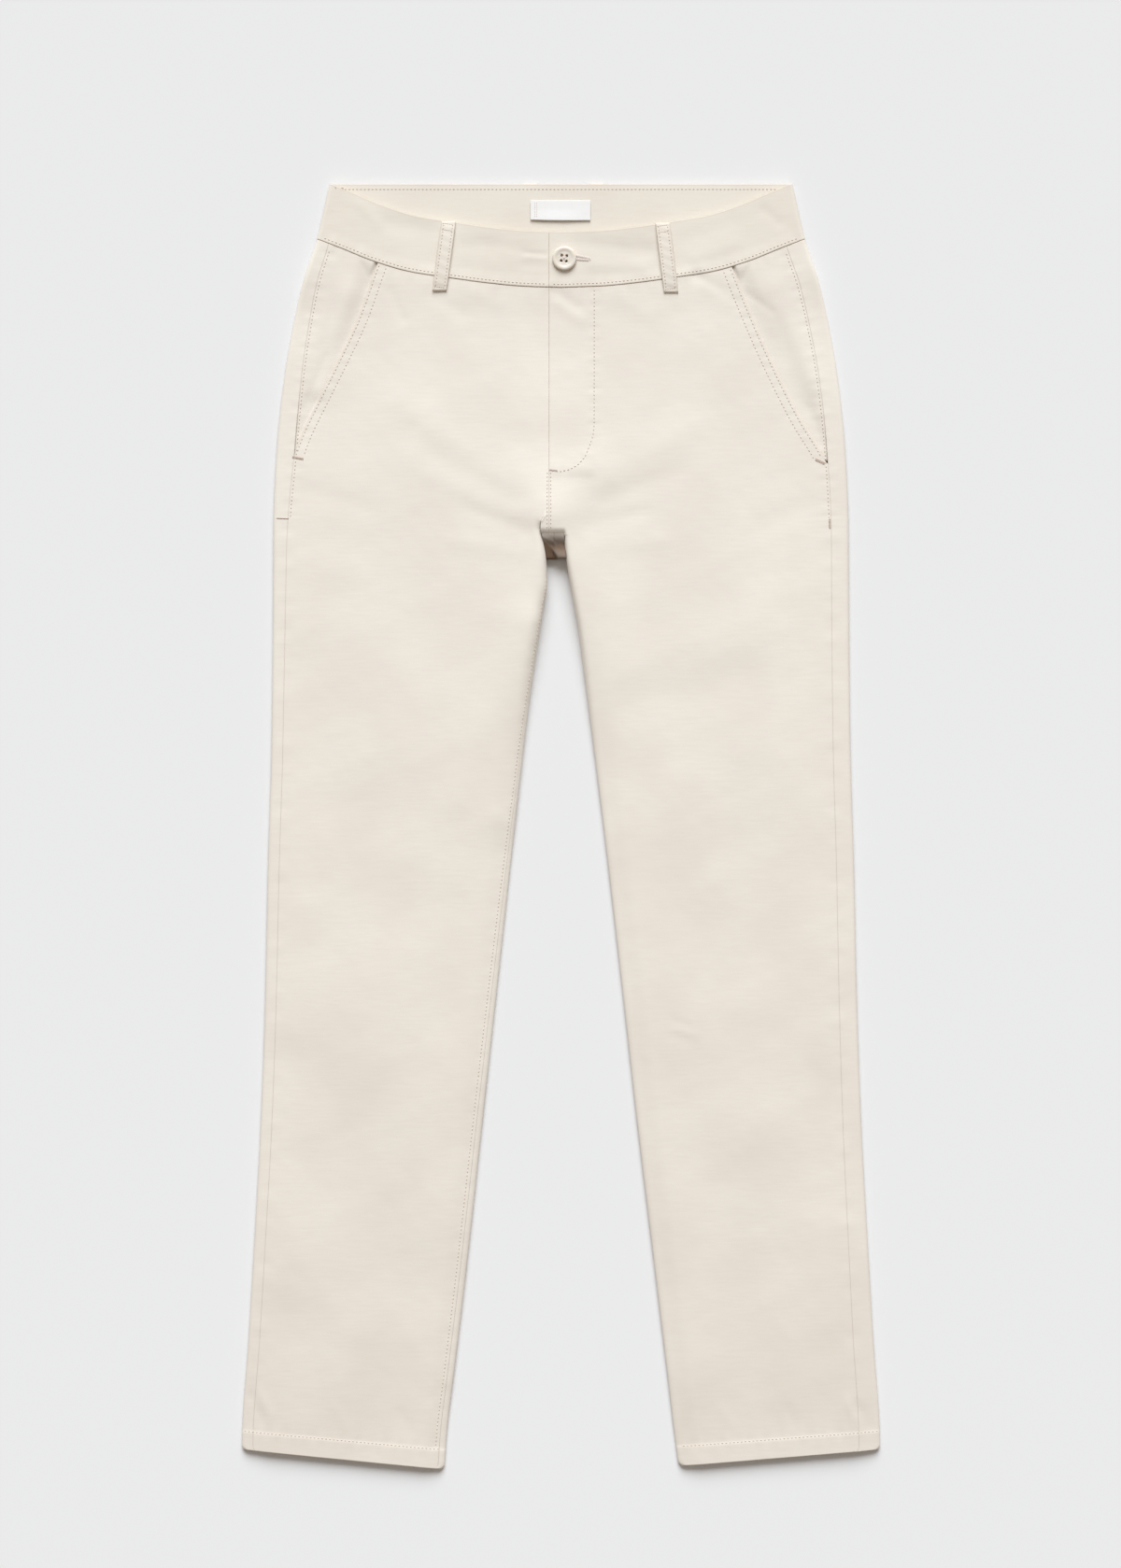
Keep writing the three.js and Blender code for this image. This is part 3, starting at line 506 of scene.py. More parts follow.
class Sheet:
    """Grids of points that share their borders, closed to a thin wall with rounded edges."""

    def __init__(self):
        self.points, self.quads, self.ease, self.tint, self.count = [], [], [], [], 0

    def grid(self, points, flip=False, ease=(0.2, 0.2, 0.2, 0.2), tint=None):
        """Adds a grid. ease is how far its first row, last column, last row and first column round off, and
        tint is how much painted shade they take. Without it, they take as much painted shade as they are
        rounded."""
        points = np.asarray(points, float)
        rows, columns = points.shape[:2]
        if tint is None:
            tint = [np.where(np.asarray(e) < 0.1, 0, np.minimum(1, np.asarray(e) / 0.6)) for e in ease]
        for border, kept in ((ease, self.ease), (tint, self.tint)):
            amount = np.zeros((rows, columns))
            amount[:, 0], amount[:, -1] = border[3], border[1]
            amount[0], amount[-1] = border[0], border[2]
            kept.append(amount.ravel())
        index = np.arange(rows * columns).reshape(rows, columns) + self.count
        quads = np.stack([index[:-1, :-1], index[:-1, 1:], index[1:, 1:], index[1:, :-1]], -1).reshape(-1, 4)
        self.quads.append(quads[:, ::-1] if flip else quads)
        self.points.append(points.reshape(-1, 3))
        self.count += rows * columns
        return self

    def wall(self, thickness, rounding):
        """Points and faces of the closed wall, and how much painted shade each point takes from a sewn edge
        nearby.
        """
        points, quads = np.concatenate(self.points), np.concatenate(self.quads)
        _, first, merged = np.unique(np.round(points * 1e3).astype(np.int64), axis=0, return_index=True,
                                     return_inverse=True)
        points, quads = points[first], merged.reshape(-1)[quads]
        ease, tint = np.concatenate(self.ease)[first], np.concatenate(self.tint)[first]
        a, b, c, d = (points[quads[:, i]] for i in range(4))
        face = np.cross(c - a, d - b)
        normal = np.zeros_like(points)
        for i in range(4):
            np.add.at(normal, quads[:, i], face)
        normal /= np.maximum(np.linalg.norm(normal, axis=1, keepdims=True), 1e-9)
        ends = np.concatenate([quads[:, [0, 1]], quads[:, [1, 2]], quads[:, [2, 3]], quads[:, [3, 0]]])
        ends = ends[ends[:, 0] != ends[:, 1]]
        _, back, uses = np.unique(np.sort(ends, 1), axis=0, return_inverse=True, return_counts=True)
        rim = ends[uses[back.reshape(-1)] == 1]
        border = np.unique(rim)
        tree = KDTree(len(border))
        for i, p in enumerate(points[border]):
            tree.insert(p, i)
        tree.balance()
        found = [tree.find(p)[1:] for p in points]
        edge = np.array([distance for _, distance in found])
        nearest = border[[index for index, _ in found]]
        amount = ease[nearest]
        rounded = 1 - np.sqrt(np.maximum(0, 1 - (1 - np.minimum(edge / rounding, 1)) ** 2))
        half = thickness / 2 * (1 - amount * rounded)
        middle = points - normal * thickness / 2
        outer, inner = middle + normal * half[:, None], middle - normal * half[:, None]
        n = len(points)
        sides = np.stack([rim[:, 1], rim[:, 0], rim[:, 0] + n, rim[:, 1] + n], 1)
        faces = np.concatenate([quads, quads[:, ::-1] + n, sides])
        # painted shade: the colour darkens within SHADE_REACH of an edge
        shade = np.clip(1 - edge / SHADE_REACH, 0, 1) * tint[nearest]
        return np.concatenate([outer, inner]), faces, np.concatenate([shade, shade])


def make_mesh(name, points, faces, material, shade=None, depth=None, walled=True):
    """A piece from points in millimetres, with each point's painted shade beside edges (shade) and painted
    shade in the crotch's recess (depth) for its material.
    """
    faces = np.asarray(faces)
    # in a wall the second half of the points is the inner surface, and the rim between them is shaded apart
    on_rim = (faces.min(1) < len(points) // 2) & (faces.max(1) >= len(points) // 2) & walled
    used, faces = np.unique(faces, return_inverse=True)
    faces = faces.reshape(-1, 4)
    mesh = bpy.data.meshes.new(name)
    loops, is_smooth = [], []
    for quad, rim in zip(faces.tolist(), on_rim):
        corners = [v for i, v in enumerate(quad) if v != quad[i - 1]]
        if len(set(corners)) > 2:
            loops.append(list(dict.fromkeys(corners)))
            is_smooth.append(not rim)
    mesh.from_pydata((np.asarray(points)[used] * MM).tolist(), [], loops)
    mesh.polygons.foreach_set("use_smooth", is_smooth)
    for label_name, values in (("shade", shade), ("depth", depth)):
        if values is not None:
            layer = mesh.attributes.new(label_name, "FLOAT", "POINT")
            layer.data.foreach_set("value", np.asarray(values, np.float32)[used])
    mesh.validate()
    mesh.update()
    mesh.materials.append(material)
    piece = bpy.data.objects.new(name, mesh)
    bpy.context.scene.collection.objects.link(piece)
    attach(piece, "root")
    return piece


def carried_over(piece, cad_node):
    """A piece that takes the place of its solid."""
    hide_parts(cad_node)
    return piece


# Materials

def node(tree, kind, inputs=(), **settings):
    made = tree.nodes.new(kind)
    for key, value in settings.items():
        setattr(made, key, value)
    for key, value in dict(inputs).items():
        if isinstance(value, bpy.types.NodeSocket):
            tree.links.new(value, made.inputs[key])
        else:
            made.inputs[key].default_value = value
    return made


def new_material(name):
    material = bpy.data.materials.new(name)
    material.use_nodes = True
    tree = material.node_tree
    shader = tree.nodes["Principled BSDF"]
    where = node(tree, "ShaderNodeTexCoord")
    scaled = node(tree, "ShaderNodeVectorMath", {0: where.outputs["Object"], 1: (1000, 1000, 1000)},
                  operation="MULTIPLY")
    return material, tree, shader, scaled.outputs[0]


def mix_colour(tree, factor, a, b, blend="MIX"):
    made = node(tree, "ShaderNodeMix", data_type="RGBA", blend_type=blend)
    for socket, value in ((made.inputs[0], factor), (made.inputs[6], a), (made.inputs[7], b)):
        if isinstance(value, bpy.types.NodeSocket):
            tree.links.new(value, socket)
        else:
            socket.default_value = value
    return made.outputs[2]


def ramp(tree, value, low, high, to_low=0.0, to_high=1.0):
    made = node(tree, "ShaderNodeMapRange", {"Value": value, "From Min": low, "From Max": high,
                                             "To Min": to_low, "To Max": to_high})
    return made.outputs[0]


def colour(r, g, b):
    """A colour given as it looks on screen, 0 to 255, as the shader's linear numbers."""
    linear = [((v / 255 + 0.055) / 1.055) ** 2.4 if v > 10 else v / 255 / 12.92 for v in (r, g, b)]
    return (*linear, 1)


def cloth_material(name, tint, deep, twill=1.0, period=0.55):
    """Cotton twill: fine diagonal ribs, yarn flecks along the weft, soft uneven dye, painted shade beside
    sewn edges and in the crotch's recess, and painted shade darkening the legs towards the hems.
    """
    material, tree, shader, mm = new_material(name)
    turned = node(tree, "ShaderNodeMapping", {"Vector": mm, "Rotation": (0, 0, math.radians(28))})
    ribs = node(tree, "ShaderNodeTexWave", {"Vector": turned.outputs[0], "Scale": 2 * math.pi / period / 20,
                                            "Distortion": 1.2, "Detail": 2, "Detail Scale": 0.9},
                wave_type="BANDS", bands_direction="X", wave_profile="SIN")
    yarn = node(tree, "ShaderNodeTexNoise", {"Vector": turned.outputs[0], "Scale": 2.2, "Detail": 3,
                                             "Roughness": 0.65})
    weft = node(tree, "ShaderNodeMapping", {"Vector": mm, "Scale": (0.16, 1.0, 1.0)})
    slub = node(tree, "ShaderNodeTexNoise", {"Vector": weft.outputs[0], "Scale": 0.42, "Detail": 4,
                                             "Roughness": 0.6})
    cloud = node(tree, "ShaderNodeTexNoise", {"Vector": mm, "Scale": 0.016, "Detail": 2, "Roughness": 0.4})
    shade = node(tree, "ShaderNodeAttribute", attribute_name="shade")
    depth = node(tree, "ShaderNodeAttribute", attribute_name="depth")
    surface_colour = mix_colour(tree, ramp(tree, cloud.outputs[0], 0.38, 0.62, 0.0, 0.4), tint, deep)
    surface_colour = mix_colour(tree, ramp(tree, slub.outputs[0], 0.38, 0.66, 0.0, 0.22), surface_colour, deep)
    surface_colour = mix_colour(tree, ramp(tree, yarn.outputs[0], 0.35, 0.7, 0.0, 0.3), surface_colour, deep)
    # painted shade along sewn and folded edges, where the cloth meets and overhangs
    surface_colour = mix_colour(tree, ramp(tree, shade.outputs["Fac"], 0.0, 1.0, 0.0, 0.55), surface_colour, colour(208, 191, 174))
    # painted shade: the crotch's recess darkened towards brown by each point's depth
    surface_colour = mix_colour(tree, depth.outputs["Fac"], surface_colour, colour(112, 92, 76), "MULTIPLY")
    # painted shade: the legs' colour darkens towards the hems, where less light falls
    place = node(tree, "ShaderNodeSeparateXYZ", {0: mm})
    surface_colour = mix_colour(tree, ramp(tree, place.outputs[1], 300, -470, 0.0, 1.0), surface_colour, colour(246, 244, 243),
                     "MULTIPLY")
    tree.links.new(surface_colour, shader.inputs["Base Color"])
    height = node(tree, "ShaderNodeMath", {0: ribs.outputs[0], 1: yarn.outputs[0]}, operation="ADD")
    bump = node(tree, "ShaderNodeBump", {"Height": height.outputs[0], "Strength": 0.22 * twill,
                                         "Distance": 0.00009})
    slack = node(tree, "ShaderNodeBump", {"Height": slub.outputs[0], "Strength": 0.12, "Distance": 0.0005,
                                          "Normal": bump.outputs[0]})
    tree.links.new(slack.outputs[0], shader.inputs["Normal"])
    rough = ramp(tree, yarn.outputs[0], 0.3, 0.7, 0.84, 0.97)
    tree.links.new(rough, shader.inputs["Roughness"])
    shader.inputs["Specular IOR Level"].default_value = 0.22
    shader.inputs["Sheen Weight"].default_value = 0.12
    shader.inputs["Sheen Roughness"].default_value = 0.6
    return material


def thread_material(name, tint, deep):
    material, tree, shader, mm = new_material(name)
    twist = node(tree, "ShaderNodeTexWave", {"Vector": mm, "Scale": 1.3, "Distortion": 0.6},
                 wave_type="BANDS", bands_direction="DIAGONAL")
    shade = node(tree, "ShaderNodeTexNoise", {"Vector": mm, "Scale": 0.6, "Detail": 2})
    surface_colour = mix_colour(tree, ramp(tree, twist.outputs[0], 0, 1, 0, 0.35), tint, deep)
    surface_colour = mix_colour(tree, ramp(tree, shade.outputs[0], 0.35, 0.65, 0, 0.35), surface_colour, deep)
    tree.links.new(surface_colour, shader.inputs["Base Color"])
    bump = node(tree, "ShaderNodeBump", {"Height": twist.outputs[0], "Strength": 0.4, "Distance": 0.00008})
    tree.links.new(bump.outputs[0], shader.inputs["Normal"])
    shader.inputs["Roughness"].default_value = 0.62
    shader.inputs["Sheen Weight"].default_value = 0.1
    return material


def button_material():
    """Pale horn-like resin with faint streaks and a satin surface."""
    material, tree, shader, mm = new_material("button_resin")
    stretched = node(tree, "ShaderNodeMapping", {"Vector": mm, "Scale": (0.35, 1.0, 1.0),
                                                 "Rotation": (0, 0, 0.5)})
    streak = node(tree, "ShaderNodeTexNoise", {"Vector": stretched.outputs[0], "Scale": 0.5, "Detail": 5,
                                               "Distortion": 0.8})
    cloud = node(tree, "ShaderNodeTexNoise", {"Vector": mm, "Scale": 0.16, "Detail": 2})
    surface_colour = mix_colour(tree, ramp(tree, streak.outputs[0], 0.35, 0.7), colour(233, 225, 213),
                     colour(222, 212, 198))
    surface_colour = mix_colour(tree, ramp(tree, cloud.outputs[0], 0.4, 0.6, 0, 0.4), surface_colour, colour(226, 217, 204))
    # painted shade: the insides of the holes are coloured a dark brown
    inside = node(tree, "ShaderNodeAttribute", attribute_name="shade")
    surface_colour = mix_colour(tree, inside.outputs["Fac"], surface_colour, colour(62, 44, 36))
    tree.links.new(surface_colour, shader.inputs["Base Color"])
    grain = node(tree, "ShaderNodeTexNoise", {"Vector": mm, "Scale": 3.0, "Detail": 2})
    bump = node(tree, "ShaderNodeBump", {"Height": grain.outputs[0], "Strength": 0.08, "Distance": 0.0001})
    tree.links.new(bump.outputs[0], shader.inputs["Normal"])
    tree.links.new(ramp(tree, streak.outputs[0], 0.3, 0.7, 0.34, 0.46), shader.inputs["Roughness"])
    shader.inputs["Subsurface Weight"].default_value = 0.08
    shader.inputs["Subsurface Scale"].default_value = 0.002
    return material


def label_material():
    """White woven tape: a fine flat weave with a faint rib."""
    material, tree, shader, mm = new_material("label_tape")
    across = node(tree, "ShaderNodeTexWave", {"Vector": mm, "Scale": 1.05}, wave_type="BANDS",
                  bands_direction="X")
    along = node(tree, "ShaderNodeTexWave", {"Vector": mm, "Scale": 0.8}, wave_type="BANDS",
                 bands_direction="Y")
    weave = node(tree, "ShaderNodeMath", {0: across.outputs[0], 1: along.outputs[0]}, operation="ADD")
    cloud = node(tree, "ShaderNodeTexNoise", {"Vector": mm, "Scale": 0.2, "Detail": 3})
    surface_colour = mix_colour(tree, ramp(tree, weave.outputs[0], 0.4, 1.6), colour(236, 235, 234),
                     colour(245, 244, 243))
    surface_colour = mix_colour(tree, ramp(tree, cloud.outputs[0], 0.4, 0.7, 0, 0.3), surface_colour, colour(234, 233, 231))
    tree.links.new(surface_colour, shader.inputs["Base Color"])
    bump = node(tree, "ShaderNodeBump", {"Height": weave.outputs[0], "Strength": 0.3, "Distance": 0.00008})
    tree.links.new(bump.outputs[0], shader.inputs["Normal"])
    shader.inputs["Roughness"].default_value = 0.6
    shader.inputs["Sheen Weight"].default_value = 0.1
    return material


cloth = cloth_material("cotton_twill", colour(237, 231, 220), colour(228, 218, 207))
band_cloth = cloth_material("cotton_twill_band", colour(233, 227, 215), colour(224, 214, 201), 0.9)
loop_cloth = cloth_material("cotton_twill_loops", colour(233, 226, 214), colour(223, 212, 199), 1.1, 0.5)
thread = thread_material("sewing_thread", colour(221, 207, 194), colour(207, 191, 177))
dark_thread = thread_material("bartack_thread", colour(214, 196, 182), colour(194, 175, 160))
pale_thread = thread_material("buttonhole_thread", colour(236, 225, 216), colour(220, 206, 195))
resin = button_material()
tape = label_material()


# Panels

def raised(points, weight):
    """Points on the front, moved out by the creases and gathers there."""
    made = points.copy()
    made[..., 2] += relief(points, weight)
    return made


def crotch_round(y):
    """How far the front drops as its lower edge rolls into the crotch."""
    return 2.3 * np.clip(1 - (y - CROTCH_Y) / 4.6, 0, 1) ** 2


def front_panel(name, side):
    """Two grids: the leg and the hip above it, and the rise from the crotch to the waist at the centre."""
    y = PANEL_ROWS[:, None]
    row = Row(side, y)
    right = side.sign < 0
    leg = smooth(-y, -231.5, -215) if right else smooth(-y, -219.6, -216.8)
    lift = np.where(PANEL_ROWS == WAIST_SEAM_Y, SEAM_GAP, 0)[:, None]
    start = side.inseam_in(y) + SEAM_GAP
    split_x = hook_x(np.clip(y, HOOK[0][0], HOOK[-1][0])) if right else side.inner_x(CROTCH_Y) + 0 * y
    outer_x = front_outer_x(side, y, SEAM_GAP / 2)
    roll = side.roll_depth(y)
    leg_length = np.abs(outer_x - row.inner_x) - roll + roll * math.pi / 2 - start
    length = lerp(np.abs(outer_x - split_x), leg_length, leg)
    near_mouth = [0, 0.3, 0.65, 1.1, 1.5, 1.9, 2.6, 3.6, 4.8, 6.0, 6.6, 7.1, 7.6, 8.4, 9.8]
    path = spaced(length, NEAR_SEAM + [6.2, 7.8, 9.6, 11.6], near_mouth, 76)
    over, turn = fold_point(row, False, start + path)

    def level(x, at_row, at_lift):
        at_y = at_row.front_y(x)
        return np.stack([x, at_y - at_lift, top_height(side, x, at_y) + at_row.hem + 0 * x], -1)

    over[..., 1] -= lift
    ground = level(split_x + side.sign * path, row, lift)
    ground[..., 2] -= crotch_round(y) * np.exp(-(path / 1.4) ** 2)
    main = raised(lerp(ground, over, leg[..., None]), lerp(1, turn, leg))
    rise = PANEL_ROWS >= 219.6
    centre_x = FRONT_CENTRE_X + side.sign * SEAM_GAP / 2
    share = np.array([0, 0.06, 0.14, 0.26, 0.4, 0.54, 0.66, 0.76, 0.84, 0.91, 0.96, 1])
    patch = level(centre_x + (split_x[rise] - centre_x) * share, Row(side, y[rise]), lift[rise])
    patch[..., 2] -= crotch_round(y[rise])
    patch = raised(patch, 1)
    outer_ease = np.where(PANEL_ROWS > side.pocket_end_y, FOLD_EASE, SEAM_EASE)
    fly_ease = np.where(PANEL_ROWS[rise] > FLY_END_Y, 0.05 if right else 0.15, 0.12)
    sheet = Sheet().grid(main, not right, (BAND_EASE, outer_ease, FOLD_EASE, SEAM_EASE))
    # the rise's edges take painted shade, most along the waist seam
    sheet.grid(patch, not right, (BAND_EASE, 0.6, 0.2, fly_ease), (0.8, 0.3, 0, 0.2))
    points, faces, shade = sheet.wall(CLOTH, 0.5)
    return carried_over(make_mesh(f"front_panel_{name}", points, faces, cloth, shade), f"front_{name}")


def back_panel(name, side):
    """The back, wrapped round both folds of the leg onto the front, with its half of the crotch's fold."""
    y = PANEL_ROWS[:, None]
    row = Row(side, y)
    lift = np.where(PANEL_ROWS == WAIST_SEAM_Y, SEAM_GAP, 0)[:, None]
    is_leg = PANEL_ROWS <= TONGUE_ROOT_Y
    root = Row(side, TONGUE_ROOT_Y)
    split_x = float(root.inner_x + side.sign * FOLD_DEPTH)
    flap = side.side_in(y) + QUARTER - FOLD_DEPTH - SEAM_GAP / 2
    top_part = spaced(flap - QUARTER, NEAR_SEAM[:6], [0], 3)
    measures = np.concatenate([flap - top_part, QUARTER - 2 * QUARTER * np.linspace(0, 1, 15)[1:] + 0 * y], 1)
    fold, turn = fold_point(row, True, measures)
    fold = raised(fold, turn)
    to_x = np.where(is_leg[:, None], row.inner_x + side.sign * FOLD_DEPTH, split_x)
    across = fold[:, -1:, 0] + (to_x - fold[:, -1:, 0]) * np.linspace(0, 1, 33)[1:]
    floor = np.stack([across, row.line_y(across), base_height(y) + 0 * across], -1)
    main = np.concatenate([fold, floor], 1)
    main[..., 1] -= lift
    ease = (BAND_EASE, SEAM_EASE, FOLD_EASE, SEAM_EASE)
    sheet = Sheet().grid(main, side.sign > 0, ease)

    def tongue_x(at_y):
        return side.inner_x(at_y) + side.sign * 0.15

    def centre(at_y):
        return back_centre_x(at_y) + side.sign * SEAM_GAP / 2

    upper = PANEL_ROWS[PANEL_ROWS >= TONGUE_ROOT_Y][:, None]
    upper_row = Row(side, upper)
    edge_x = float(tongue_x(TONGUE_ROOT_Y))
    parts = np.concatenate([split_x + (edge_x - split_x) * np.linspace(0, 1, 3)[:-1] + 0 * upper,
                            edge_x + (centre(upper) - edge_x) * np.linspace(0, 1, 13)], 1)
    strip = np.stack([parts, upper_row.line_y(parts), base_height(upper) + 0 * parts], -1)
    strip[..., 1] -= np.where(upper == WAIST_SEAM_Y, SEAM_GAP, 0)
    sheet.grid(strip, side.sign > 0, ease)
    leg_y = PANEL_ROWS[is_leg][:, None]
    leg_row = Row(side, leg_y)
    end = side.inseam_in(leg_y) - SEAM_GAP / 2
    under = -QUARTER + (end + QUARTER) * np.concatenate([np.linspace(0, 0.88, 12), [0.93, 0.97, 1]])
    inner, turn = fold_point(leg_row, False, under)
    sheet.grid(raised(inner, turn), side.sign > 0, ease)
    # the crotch: folded between the legs, low beside the right one, then rising late to tuck under the front
    across = np.linspace(0, 1, 17)
    curl = []
    for turn in np.radians(np.concatenate([np.linspace(-90, 0, 8), np.linspace(12, 84, 6)])):
        depth = TONGUE_ROOT_Y - TONGUE_EDGE_Y if turn < 0 else NOOK_ROLL
        at_y = TONGUE_EDGE_Y + (1 - math.cos(turn)) * depth + 0 * across
        at_x = lerp(tongue_x(at_y), centre(at_y), across)
        if not curl:
            at_y = root.line_y(at_x)
        rim = lerp(LOW_RIM, HIGH_RIM, smooth(at_x - parting_x(at_y), -PART_BLUR, PART_BLUR))
        curl.append(np.stack([at_x, at_y, rim * (1 + math.sin(turn)) + 0 * across], -1))
    for turn in np.radians(np.linspace(4, 90, 22)):
        at_y = lerp(TONGUE_EDGE_Y + NOOK_ROLL, CROTCH_Y + 1.3, math.sin(turn)) + 0 * across
        at_x = lerp(tongue_x(at_y), centre(at_y), across)
        under = np.stack([at_x, CROTCH_Y + 0.4 + 0 * across, 0 * across], -1)
        crown = top_height(side, at_x, CROTCH_Y) + relief(under, 1) - CLOTH - UNDER_FRONT
        low = lerp(2 * LOW_RIM, crown, math.sin(turn) ** LATE_RISE)
        high = lerp(2 * HIGH_RIM, crown, math.sin(turn) ** LATE_RISE)
        high = high - VALLEY_DEPTH * np.exp(-((at_y - VALLEY_Y) / VALLEY_WIDTH) ** 2)
        at_z = lerp(low, high, smooth(at_x - parting_x(at_y), -PART_BLUR, PART_BLUR))
        at_z = at_z + bumps(at_x, at_y, NOOK_CREASES) * math.cos(turn)
        joint = fold_point(Row(side, at_y), False, side.inseam_in(at_y) + 0.6)[0][:, 2] - CLOTH * 0.7
        rise = np.exp(-((at_x - at_x[0]) / 1.1) ** 2) * smooth(math.degrees(turn), 4, 20)
        curl.append(np.stack([at_x, at_y, lerp(at_z, np.maximum(np.minimum(joint, crown), at_z), rise)], -1))
    sheet.grid(np.array(curl), side.sign > 0, ease)
    points, faces, shade = sheet.wall(CLOTH, 0.5)
    # painted shade: the recess is coloured darker where shade falls, most of all beside the low part of the
    # fold
    x, y, z = points.T
    raised_part = smooth(x - parting_x(y), -PART_BLUR, PART_BLUR)
    painted_recess_shade = lerp(1.0, 0.84 + 0.12 * np.exp(-((y - 209) / 4) ** 2), raised_part)
    painted_recess_shade = painted_recess_shade * (1 - 0.4 * smooth(y, 211, 220.5))
    between = ((x > RIGHT.inner_x(y) - 1.5) & (x < LEFT.inner_x(y) + 1.5)
               & (y > TONGUE_EDGE_Y - 0.8) & (z > 0.9))
    return carried_over(make_mesh(f"back_panel_{name}", points, faces, cloth, shade, painted_recess_shade * between),
                        f"back_{name}")


def pocket_facing(name, side):
    """The cloth seen in the pocket mouth, lying lower than the front panel."""
    y = PANEL_ROWS[PANEL_ROWS >= side.pocket_end_y - 1][:, None]
    row = Row(side, y)
    outer_x = row.outer_x - side.sign * (side.side_in(y) + SEAM_GAP / 2)
    inner_x = front_outer_x(side, y, 0) - side.sign * 10
    share = np.concatenate([[0, 0.02, 0.05], np.linspace(0.08, 0.94, 44), [0.96, 0.975, 0.988, 1]])
    x = inner_x + (outer_x - inner_x) * share
    at_y = row.front_y(x)
    points = np.stack([x, at_y, top_height(side, x, at_y) - CAD_CLOTH - UNDERLAP_GAP], -1)
    # the facing rises to meet the wrapped back panel at the side seam, and tucks under the band elsewhere
    beside = np.abs(x - inner_x)
    rise = smooth(beside, 11.5, 34) * smooth(share, 0.3, 1)
    rise = np.maximum(rise, smooth(beside, 10.5, 24) * smooth(y, 350, 439))
    rise = np.maximum(rise, smooth(beside, 10.5, 13) * smooth(y, 426, 439))
    points[..., 1] += np.where(y == WAIST_SEAM_Y, lerp(2.2, -SEAM_GAP, rise), 0)
    points[..., 2] += (CAD_CLOTH + UNDERLAP_GAP - 0.05) * rise
    shown = smooth(np.abs(x - inner_x), 9, 12)
    made = raised(points, np.where(shown > 0, shown, 0))
    made[..., 2] = np.where(shown <= 0, points[..., 2], made[..., 2])
    points, faces, shade = Sheet().grid(made, side.sign > 0).wall(1.0, 0.5)
    return carried_over(make_mesh(f"pocket_facing_{name}_cloth", points, faces, cloth, shade),
                        f"pocket_facing_{name}")


def waistband(name, side):
    """One half of the band: along the front, round the side fold and back to the centre."""
    share = np.concatenate([[0, 0.008, 0.017, 0.03, 0.045], np.linspace(0.062, 0.94, 30),
                            [0.955, 0.97, 0.983, 0.992, 1]])[:, None]
    y = lerp(WAIST_TOP_Y, WAIST_SEAM_Y + 0.1, share)
    outer_x = side.sign * half_width(y)
    radius = (BAND_HEIGHT - BAND_BASE) / 2

    def dipped(x):
        return y - dip_at(np.minimum(1, np.abs(x) / np.abs(outer_x)))

    start = FRONT_CENTRE_X + side.sign * SEAM_GAP / 2
    path = spaced(np.abs(outer_x - side.sign * radius - start), [0, 0.3, 0.7, 1.2, 2.0, 3.0], [0], 100)
    x = start + side.sign * path
    at_y = dipped(x)
    front = np.stack([x, at_y, top_height(side, x, at_y)], -1)
    angle = np.radians(np.linspace(90, -90, 17)[1:])
    x = outer_x - side.sign * radius * (1 - np.cos(angle))
    round_y = np.where(angle > 0, dipped(x), y + 0 * x)
    fold = np.stack([x, round_y, BAND_BASE + radius * (1 + np.sin(angle)) + 0 * x], -1)
    x = (fold[:, -1:, 0] + (BACK_WAIST_X - fold[:, -1:, 0])
         * np.append(np.linspace(0, 0.99, 69)[1:], [0.996, 0.999, 1]))
    back = np.stack([x, y + 0 * x, BAND_BASE + 0 * x], -1)
    front = raised(front, 1)
    front[..., 2] += 0.4 * smooth(share, 0.75, 1) * smooth(np.abs(outer_x - front[..., 0]), 2, 14)
    ease = (0, 0, BAND_EASE, 0.2 if side.sign > 0 else 0.1)
    # painted shade along the band's top edge, full there although that edge is not rounded, and along its
    # seam
    tint = (1, 0, 0.9, 0.25)
    sheet = Sheet().grid(np.concatenate([front, fold, back], 1), side.sign > 0, ease, tint)
    points, faces, shade = sheet.wall(BAND_CLOTH, 0.6)
    return carried_over(make_mesh(f"waistband_{name}_cloth", points, faces, band_cloth, shade),
                        f"waistband_{name}")


# a loop's width and how far it passes the band, and all four edges of a free strip
LOOP_WIDTH, LOOP_ABOVE, LOOP_BELOW = 11.0, 0.3, 11.0
FREE = (FOLD_EASE,) * 4
# x at the top and bottom of each front loop, and x of each back loop
FRONT_LOOPS = {"right": (-84.0, -91.0), "left": (76.0, 82.5)}
BACK_LOOPS = {"right": -22.8, "left": 26.6}


def loop_line(name):
    """The middle line of a front belt loop, as x and y from its top to its foot."""
    side, (top_x, bottom_x) = SIDES[name], FRONT_LOOPS[name]
    top = WAIST_TOP_Y - dip_at(abs(top_x) / half_width(WAIST_TOP_Y)) + LOOP_ABOVE
    bottom = Row(side, WAIST_SEAM_Y).front_y(bottom_x) - LOOP_BELOW
    t = np.linspace(0, 1, 56)
    return np.stack([lerp(top_x, bottom_x, t), lerp(top, bottom, t)], 1), t


